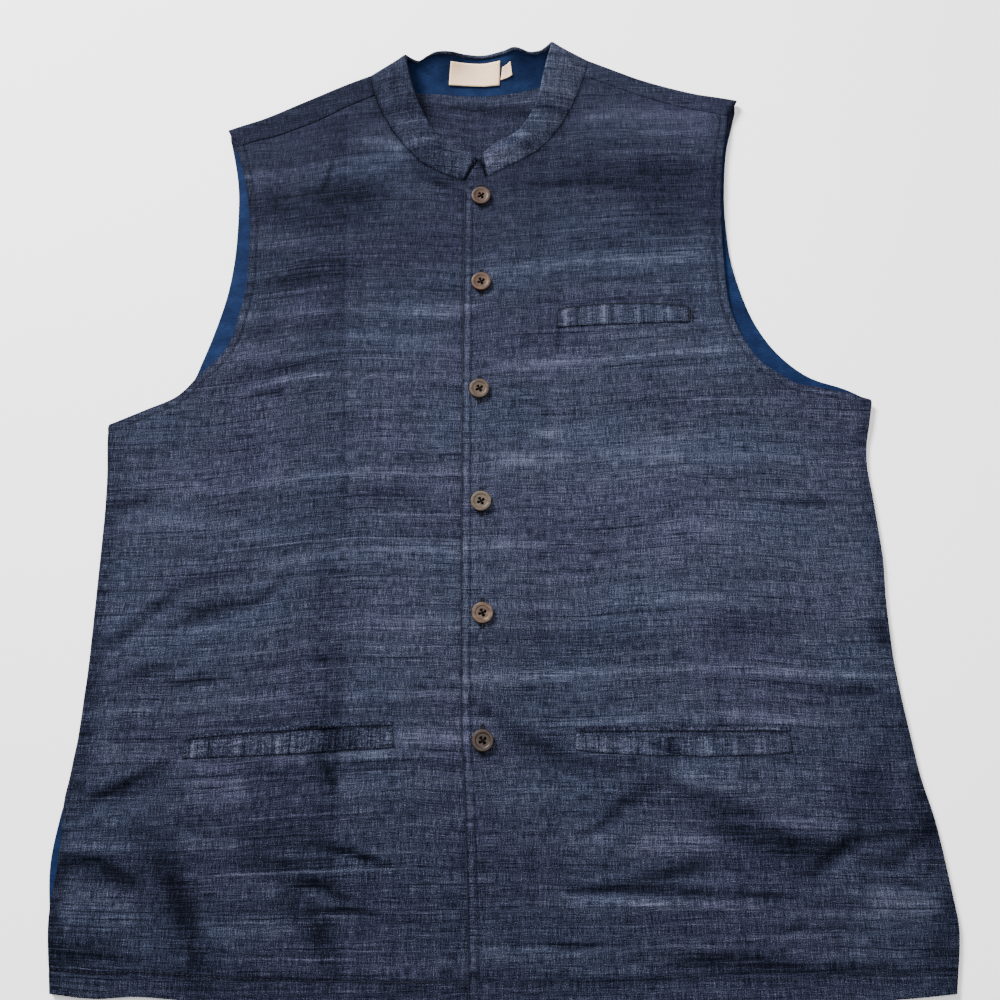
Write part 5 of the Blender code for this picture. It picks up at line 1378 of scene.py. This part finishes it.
def button_disc(name):
    """A turned disc with a dished face and a soft rim."""
    radius, height, edge, floor = BUTTON_RADIUS, BUTTON_THICKNESS, BUTTON_EDGE, BUTTON_FLOOR
    slope, climb = BUTTON_DISH_RADIUS - 1.1, height - floor - 0.06
    profile = [(0.0, floor), (3.2, floor), (slope, floor + 0.06)]
    profile += [(slope + 1.1 * part, floor + 0.06 + climb * (3 * part ** 2 - 2 * part ** 3))
                for part in np.linspace(0, 1, 8)[1:]]
    profile += [(radius - edge + edge * math.sin(a), height - edge + edge * math.cos(a))
                for a in np.linspace(0, math.pi / 2, 8)]
    profile += [(radius - 0.25, edge * 0.6), (radius - edge, 0.15),
                (radius - edge * 1.6, 0.0), (0.0, 0.0)]
    bm = bmesh.new()
    verts = [bm.verts.new((r * MM, 0.0, z * MM)) for r, z in profile]
    edges = [bm.edges.new(pair) for pair in zip(verts, verts[1:])]
    bmesh.ops.spin(bm, geom=verts + edges, axis=(0, 0, 1), cent=(0, 0, 0),
                   angle=2 * math.pi, steps=72, use_merge=True)
    bmesh.ops.remove_doubles(bm, verts=bm.verts, dist=0.000005)
    bmesh.ops.recalc_face_normals(bm, faces=bm.faces)
    for face in bm.faces:
        face.smooth = True
    return mesh_of(name, bm)


def hole_pins():
    """Four pins that cut a button's holes."""
    bm = bmesh.new()
    reach, radius = BUTTON_HOLE_PITCH / math.sqrt(2), 1.15 * BUTTON_HOLE_RADIUS * MM
    for corner in range(4):
        angle = math.radians(45 + 90 * corner)
        place = (reach * math.cos(angle) * MM, reach * math.sin(angle) * MM,
                 BUTTON_THICKNESS / 2 * MM)
        bmesh.ops.create_cone(bm, cap_ends=True, segments=20, matrix=Matrix.Translation(place),
                              depth=2 * BUTTON_THICKNESS * MM, radius1=radius, radius2=radius)
    return mesh_of("button_pins", bm)


def surface_frame(outline, x, up, reach):
    """Slope and highest point of the left front under a disc of this radius."""
    angles = np.linspace(0, 2 * np.pi, 24, endpoint=False)
    ring_x = np.concatenate([[x], x + reach * np.cos(angles)])
    ring_up = np.concatenate([[up], up + reach * np.sin(angles)])
    z = fine_height(ring_x, ring_up, outline, lapped=True)
    table = np.column_stack([ring_x - x, ring_up - up, np.ones(len(z))])
    fit, *_ = np.linalg.lstsq(table, z, rcond=None)
    return fit[0], fit[1], (z - fit[0] * (ring_x - x) - fit[1] * (ring_up - up)).max()


def button_thread(name, matrix, material):
    """Thread that crosses the holes in the dish and goes down through the cloth."""
    cords = Cords()
    half = BUTTON_HOLE_PITCH / 2
    cord = lambda line, radius, sides: cords.add([tuple(matrix @ Vector((x * MM, y * MM, z * MM)))
                                                  for x, y, z in line], radius * MM, sides)
    top = BUTTON_FLOOR + 0.24
    for across, sink in ((1, 0.0), (-1, -0.12)):
        for shift in (-0.22, 0.22):
            line = []
            for part in np.linspace(-1, 1, 15):
                out = half * part * 1.08
                high = top - 2.2 * max(abs(part) - 0.72, 0.0) ** 1.2 - sink
                line.append((out + shift * across * 0.6, out * across - shift * 0.6, high))
            cord(line, 0.36, 7)
    for x in (-half, half):
        for y in (-half, half):
            cord([(x, y, level) for level in (BUTTON_FLOOR - 0.25, 1.2, 0.2, -0.25)], 0.62, 8)
    cords.mesh(name, material)


def make_buttons(outline, materials, thread):
    pins = add_object("button_pins", hole_pins())
    for number, ((x, up, turn), material) in enumerate(zip(BUTTONS, materials), start=1):
        slope_x, slope_up, z = surface_frame(outline, x, up, BUTTON_RADIUS)
        normal = Vector((-slope_x, -slope_up, 1.0)).normalized()
        tilt = Vector((0.0, 0.0, 1.0)).rotation_difference(normal).to_matrix().to_4x4()
        spot = Vector(world(*np.array((x, up, z + BUTTON_GAP - 0.2))))
        matrix = Matrix.Translation(spot) @ tilt @ Matrix.Rotation(math.radians(turn), 4, "Z")
        obj = add_object(f"button_disc_{number}", button_disc(f"button_disc_{number}"))
        holes = obj.modifiers.new("holes", "BOOLEAN")
        holes.object, holes.operation, holes.solver = pins, "DIFFERENCE", "EXACT"
        evaluated = obj.evaluated_get(bpy.context.evaluated_depsgraph_get())
        cut = bpy.data.meshes.new_from_object(evaluated)
        obj.modifiers.remove(holes)
        obj.data = cut
        obj.matrix_world = matrix
        cut.materials.clear()
        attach(obj, "root")
        dress([obj], material, "button")
        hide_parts(f"button_{number}")
        button_thread(f"button_thread_{number}", matrix, thread)
    bpy.data.objects.remove(pins, do_unlink=True)


# ---------------------------------------------------------------- sewing

def stitch_line(cords, line, height_at, length=2.6, gap=0.7, radius=THREAD_RADIUS, seed=5):
    """A row of lockstitches along a line: each rises out of the cloth and goes back in."""
    rng = np.random.default_rng(seed)
    total = arc_length(line)[-1]
    start = 0.3
    while start + length < total:
        reach = length * rng.uniform(0.9, 1.08)
        spots = pick(line, start, min(start + reach, total), 4)
        x, up = (spots + rng.uniform(-STITCH_WANDER, STITCH_WANDER, 2)).T
        z = height_at(x, up) + radius * np.array((-1.3, 0.45, 0.6, 0.45, -1.3))
        z = z - STITCH_SINK * np.array((1, 0, 0, 0, 1))
        cords.add(world(x, up, z), np.array((0.7, 1, 1, 1, 0.7)) * radius * MM)
        start += reach + gap


def crevice_shadow_cord(cords, line, height_at, radius, sink):
    """A dark cord that stands in for the shadow in a crevice: a continuous line that lies half sunk
    in the cloth.
    """
    x, up = line.T
    z = height_at(x, up) + radius * (1 - 2 * sink) - 0.5 * radius
    cords.add(world(x, up, z), radius * MM)


def make_topstitching(outline, thread):
    cords = Cords()
    height = {side: lambda x, up, lapped=side == "left": fine_height(x, up, outline, lapped)
              for side in ("right", "left")}
    closing = outline["closing"]
    total = arc_length(closing)[-1]
    line = pick(closing, HEM_STITCH + 2, total - 1.5, 220) + (STITCH_IN, 0.0)
    stitch_line(cords, line, height["left"], seed=11)
    for side, turn, seed in (("right", -1, 12), ("left", 1, 13)):
        line = offset_curve(outline[f"armhole_{side}"], turn * STITCH_IN)
        stitch_line(cords, line, height[side], seed=seed)
    for side, low, high, seed in (("right", -292.0, -20.0, 14), ("left", -30.0, 292.0, 15)):
        x = np.linspace(low, high, 200)
        line = np.column_stack([x, hem_up(x) + HEM_STITCH])
        stitch_line(cords, line, height[side], 3.2, 0.3, 0.27, seed)
    # a dark cord at the foot of the closing's edge stands in for the shadow of the lap
    crevice_shadow_cord(cords, pick(closing, 0, total - 1.0, 320) - (0.3, 0.0), height["right"], 0.42, 0.0)
    cords.mesh("topstitching_and_lap_shadow_cord", thread)


def make_welt_stitching(outline, thread):
    """Edge stitches of the pockets along their edges and bars at the ends, and on the chest welt
    dark cords that stand in for the shadow along its top edge and down its ends.
    """
    cords = Cords()
    for name, corners in WELTS.items():
        jet, lapped = "jet" in name, "right" not in name
        height_at = lambda x, up: fine_height(x, up, outline, lapped) + WELT_LIFT - WELT_SINK
        plan = welt_plan(*corners, 60, 4 if jet else 12)
        rows = [plan[0]] if jet else [plan[0] + (0.0, 1.1), plan[-1] - (0.0, 0.9)]
        for seed, row in enumerate(rows, start=31):
            stitch_line(cords, row[4:-4], height_at, 1.9, 0.8, 0.17, seed)
        if jet:
            continue
        if name == "chest_welt":
            # dark cords along its top edge and down its ends stand in for the shadow there
            crevice_shadow_cord(cords, plan[-1] + (0.0, 0.45), height_at, 0.42, 0.3)
            for column, shift, low in ((0, -0.5, 0), (-1, 0.5, 1), (-1, 2.4, 2)):
                bar = evenly(plan[low:, column] + (shift, 0.4), 24)
                crevice_shadow_cord(cords, bar, height_at, 0.3, 0.6)
        for column, inwards in ((0, 1.0), (-1, -1.0)):
            bar = evenly(plan[:, column] + (1.2 * inwards, 0.0), 20)
            for step in range(2):
                beside = bar + (0.9 * step * inwards, 0.0)
                stitch_line(cords, beside, height_at, 1.7, 0.5, 0.2, 41 + step)
    cords.mesh("pocket_stitching_and_shadow_cords", thread)


def make_buttonholes(outline, thread):
    """Worked vertical buttonholes: two packed rows of threads with a cut between them."""
    cords = Cords()
    rng = np.random.default_rng(7)

    def thread_over(x, up, rises, radius):
        z = fine_height(x, up, outline, True) + 0.16 * np.array(rises)
        cords.add(world(x, up, z), radius * MM, 5)

    for x, up, _ in BUTTONS:
        for side in (-1, 1):
            for step in np.arange(-BUTTONHOLE_HALF, BUTTONHOLE_HALF + 0.1, THREAD_STEP):
                if abs(step) < BUTTON_COVERS:
                    continue
                xs = x + side * np.linspace(0.35, 1.75 + rng.uniform(-0.12, 0.12), 4)
                ups = up + step + rng.uniform(-0.08, 0.08) + np.linspace(0, 0.1, 4)
                thread_over(xs, ups, (0.6, 1.2, 1.0, -0.9), 0.2)
        for end in (-1, 1):
            for step in np.arange(-1.3, 1.4, THREAD_STEP):
                ups = up + end * np.linspace(*BUTTONHOLE_BAR, 3)
                thread_over(np.full(3, x + step), ups, (0.8, 1.1, -0.8), 0.21)
    cords.mesh("buttonhole_stitching", thread)


# ---------------------------------------------------------------- materials

def linear(colour, gain=1.0):
    """Linear colour of an sRGB one given from 0 to 255."""
    share = np.array(colour) / 255.0
    share = np.where(share <= 0.04045, share / 12.92, ((share + 0.055) / 1.055) ** 2.4)
    return tuple(float(c) * gain for c in share) + (1.0,)


def stops_of(stops, gain=1.0):
    return [(place, linear(colour, gain)) for place, colour in stops]


class Nodes:
    """Builds a material's nodes: each call adds one, and inputs are values or sockets."""

    def __init__(self, name):
        self.material = bpy.data.materials.new(name)
        self.material.use_nodes = True
        self.tree = self.material.node_tree
        self.shader = self.tree.nodes["Principled BSDF"]

    def put(self, socket, value):
        if isinstance(value, bpy.types.NodeSocket):
            self.tree.links.new(value, socket)
        elif value is not None:
            socket.default_value = value

    def add(self, kind, inputs=(), output=0, **settings):
        node = self.tree.nodes.new(kind)
        for key, value in settings.items():
            setattr(node, key, value)
        for key, value in dict(inputs).items():
            self.put(node.inputs[key], value)
        return node.outputs if output is None else node.outputs[output]

    def math(self, operation, a, b=None, c=None):
        return self.add("ShaderNodeMath", {0: a, 1: b, 2: c}, operation=operation)

    def weave(self):
        """The piece's weave coordinates as separate sockets: u, v and the offset."""
        attribute = self.add("ShaderNodeAttribute", attribute_name="weave", output="Vector")
        return tuple(self.add("ShaderNodeSeparateXYZ", {0: attribute}, output=None))

    def noise(self, vector, detail=2.0, roughness=0.5):
        return self.add("ShaderNodeTexNoise", {
            "Vector": vector, "Scale": 1.0, "Detail": detail, "Roughness": roughness,
            "Lacunarity": 2.0}, output="Fac")

    def threads(self, weave, fine_u, fine_v, shift, detail, roughness=0.5):
        """Noise along the weave, so many times as fine along the weft and across it."""
        u, v, w = weave
        return self.noise(self.add("ShaderNodeCombineXYZ", {
            0: self.math("MULTIPLY", u, fine_u), 1: self.math("MULTIPLY", v, fine_v),
            2: self.math("MULTIPLY_ADD", w, 1.7, shift)}), detail, roughness)

    def solid_noise(self, scale, detail, roughness=0.5, turn=0.0, shift=(0.0, 0.0, 0.0)):
        """Noise in the piece's own space."""
        return self.noise(self.add("ShaderNodeMapping", {
            "Vector": self.add("ShaderNodeTexCoord", output="Object"), "Scale": scale,
            "Rotation": (0.0, 0.0, math.radians(turn)), "Location": shift}), detail, roughness)

    def blend(self, *terms):
        """Sum of sockets, each taken so many times."""
        total = None
        for value, amount in terms:
            value = self.math("MULTIPLY", value, amount)
            total = value if total is None else self.math("ADD", total, value)
        return total

    def span(self, value, low, high, to_low=0.0, to_high=1.0, smooth=False):
        return self.add("ShaderNodeMapRange", {0: value, 1: low, 2: high, 3: to_low, 4: to_high},
                        interpolation_type="SMOOTHSTEP" if smooth else "LINEAR")

    def tinted(self, colour, tint):
        return self.add("ShaderNodeMix", {0: 1.0, 6: colour, 7: tint}, output=2,
                        data_type="RGBA", blend_type="MULTIPLY")

    def ramp(self, value, stops):
        node = self.tree.nodes.new("ShaderNodeValToRGB")
        while len(node.color_ramp.elements) < len(stops):
            node.color_ramp.elements.new(0.5)
        for element, (place, colour) in zip(node.color_ramp.elements, stops):
            element.position, element.color = place, colour
        self.put(node.inputs[0], value)
        return node.outputs[0]

    def finish(self, colour, roughness, specular, bump=None):
        """The bump is a height, its strength and its distance."""
        inputs = {"Base Color": colour, "Roughness": roughness, "Specular IOR Level": specular}
        if bump is not None:
            bump = dict(zip(("Height", "Strength", "Distance"), bump))
            inputs["Normal"] = self.add("ShaderNodeBump", bump)
        for key, value in inputs.items():
            self.put(self.shader.inputs[key], value)
        return self.material


def slub_cloth(name, turned=False):
    n = Nodes(name)
    u, v, w = n.weave()
    greys = [(place, (grey, grey, grey, 1.0)) for place, grey in CLOTH_TONES]
    tone = n.ramp(u if turned else v, greys)
    wobble = n.threads((u, v, w), 14.0, 9.0, 3.0, 2.0)
    v = n.math("ADD", v, n.math("MULTIPLY", n.math("SUBTRACT", wobble, 0.5), 0.003))
    noises = {key: n.threads((u, v, w), *sizes) for key, sizes in CLOTH_NOISES.items()}
    # The placed tone, which holds weft bands and slubs and the painted shade and light of creases,
    # folds and seams, is uneven along its threads too, less so near the collar.
    placed = n.add("ShaderNodeAttribute", attribute_name="tone", output="Fac")
    uneven = n.math("SUBTRACT", n.span(noises["uneven"], 0.36, 0.64, 0.45, 1.55), 1.0)
    uneven = n.math("MULTIPLY", uneven, n.span(v, 0.57, 0.63, 1.0, 0.3))
    placed = n.math("MULTIPLY", placed, n.math("ADD", uneven, 1.0))
    texture = 0.0
    for key, amount in CLOTH_GRAIN:
        value = n.math("MULTIPLY", n.math("SUBTRACT", noises[key], 0.5), amount)
        texture = n.math("ADD", texture, value)
    for key, low, high, amount in CLOTH_THREADS:
        texture = n.math("ADD", texture, n.span(noises[key], low, high, 0.0, amount, smooth=True))
    if not turned:
        texture = n.math("MULTIPLY", texture, n.span(v, 0.44, 0.56, 0.95, 0.76))
        texture = n.math("MULTIPLY", texture, n.span(v, 0.62, 0.65, 1.0, 0.85))
    level = n.math("ADD", n.math("ADD", tone, placed), texture)
    tint = n.ramp(n.span(noises["clouds"], 0.36, 0.66, smooth=True), CLOTH_TINTS)
    colour = n.tinted(n.ramp(level, stops_of(CLOTH_RAMP, CLOTH_GAIN)), tint)
    fibre = n.blend((noises["weft"], 0.6), (noises["warp"], 0.5), (noises["grain"], 0.6))
    return n.finish(colour, 0.9, 0.04, (fibre, 0.6, 0.0003))


def lining_cloth():
    n = Nodes("lining_cloth")
    weave = n.weave()
    level = n.blend((n.threads(weave, 260.0, 2000.0, 1.0, 1.0), 0.45),
                    (n.threads(weave, 60.0, 90.0, 2.0, 3.0), 0.55))
    colour = n.ramp(level, stops_of(LINING_RAMP, LINING_GAIN))
    return n.finish(colour, 0.8, 0.04, (level, 0.25, 0.0002))


def tape_cloth():
    n = Nodes("tape")
    weave = n.weave()
    level = n.blend((n.threads(weave, 400.0, 3200.0, 1.0, 1.0), 0.5),
                    (n.threads(weave, 3600.0, 500.0, 2.0, 1.0), 0.5))
    colour = n.ramp(level, stops_of(((0.35, (214, 182, 150)), (0.65, (243, 209, 174)))))
    return n.finish(colour, 0.8, 0.15, (level, 0.3, 0.0002))


def button_horn(number, colours, grain):
    """Streaked horn, its grain turned by so many degrees; each button's is cut elsewhere."""
    n = Nodes(f"horn_{number}")
    streaks = n.solid_noise((110.0, 700.0, 200.0), 4.0, 0.6, grain, (number, number * 2.0, 0.0))
    cloud = n.solid_noise((180.0, 180.0, 180.0), 3.0, shift=(number * 3.0, 0.0, number))
    stops = stops_of(zip((0.32, 0.52, 0.72), colours))
    colour = n.ramp(n.blend((streaks, 0.6), (cloud, 0.4)), stops)
    return n.finish(colour, 0.46, 0.2, (streaks, 0.12, 0.0001))


def thread_material(name, colour, specular=0.15):
    n = Nodes(name)
    stops = [(0.3, linear(colour, 0.6)), (0.7, linear(colour))]
    return n.finish(n.ramp(n.solid_noise((3000.0, 3000.0, 3000.0), 1.0), stops), 0.7, specular)


def floor_material():
    n = Nodes("floor")
    stops = [(0.3, (0.97, 0.97, 0.97, 1.0)), (0.7, (0.985, 0.985, 0.985, 1.0))]
    return n.finish(n.ramp(n.solid_noise((2.0, 2.0, 2.0), 2.0), stops), 0.9, 0.1)


# ---------------------------------------------------------------- the picture

def make_floor():
    bm = bmesh.new()
    bmesh.ops.create_grid(bm, x_segments=2, y_segments=2, size=4.0)
    obj = add_object("floor", mesh_of("floor", bm))
    obj.location.z = -FLOOR_DROP
    obj.data.materials.append(floor_material())


def area_light(name, place, target, width, height, power):
    data = bpy.data.lights.new(name, "AREA")
    data.shape, data.size, data.size_y, data.energy = "RECTANGLE", width, height, power
    obj = add_object(name, data)
    obj.location = place
    obj.rotation_euler = (Vector(target) - Vector(place)).to_track_quat("-Z", "Y").to_euler()


def make_lights():
    for light in LIGHTS:
        area_light(*light)
    studio = bpy.data.worlds.new("studio")
    studio.use_nodes = True
    colour, strength = studio.node_tree.nodes["Background"].inputs[:2]
    colour.default_value, strength.default_value = (1.0, 1.0, 1.0, 1.0), SKY_LIGHT
    bpy.context.scene.world = studio


def make_camera():
    data = bpy.data.cameras.new("camera")
    data.sensor_width, data.lens, data.clip_start = 36.0, CAMERA_LENS, 0.01
    obj = add_object("camera", data)
    obj.location = CAMERA_PLACE
    obj.rotation_euler = (math.radians(CAMERA_TILT), 0.0, 0.0)
    bpy.context.scene.camera = obj


def dress(objects, material, slot):
    for obj in objects:
        obj.data.materials.append(material)


def main():
    outline = garment_outline()
    cloth, cross_cloth = slub_cloth("slub_cloth"), slub_cloth("slub_cloth_turned", turned=True)
    collar, collar_lining = make_collar(outline), make_collar_lining(outline)
    dress([make_front(outline, "right"), make_front(outline, "left"), make_back(outline), collar,
           make_neck_facing(), make_button_stand()], cloth, "self_fabric")
    dress(make_welts(outline), cross_cloth, "self_fabric")
    dress([collar_lining] + make_linings(outline), lining_cloth(), "lining")
    tape = tape_cloth()
    for obj, slot in zip(make_labels(outline), LABELS):
        dress([obj], tape, slot)
    # this dark thread also colours the cords that stand in for shadow along the closing and the
    # chest welt
    thread = thread_material("dark_thread", (20, 23, 34))
    horns = [button_horn(number, *horn) for number, horn in enumerate(HORNS, start=1)]
    make_buttons(outline, horns, thread_material("button_thread", (9, 6, 7), 0.02))
    make_topstitching(outline, thread)
    make_welt_stitching(outline, thread)
    make_buttonholes(outline, thread_material("buttonhole_thread", (16, 18, 27)))
    make_floor()
    make_lights()
    make_camera()


main()
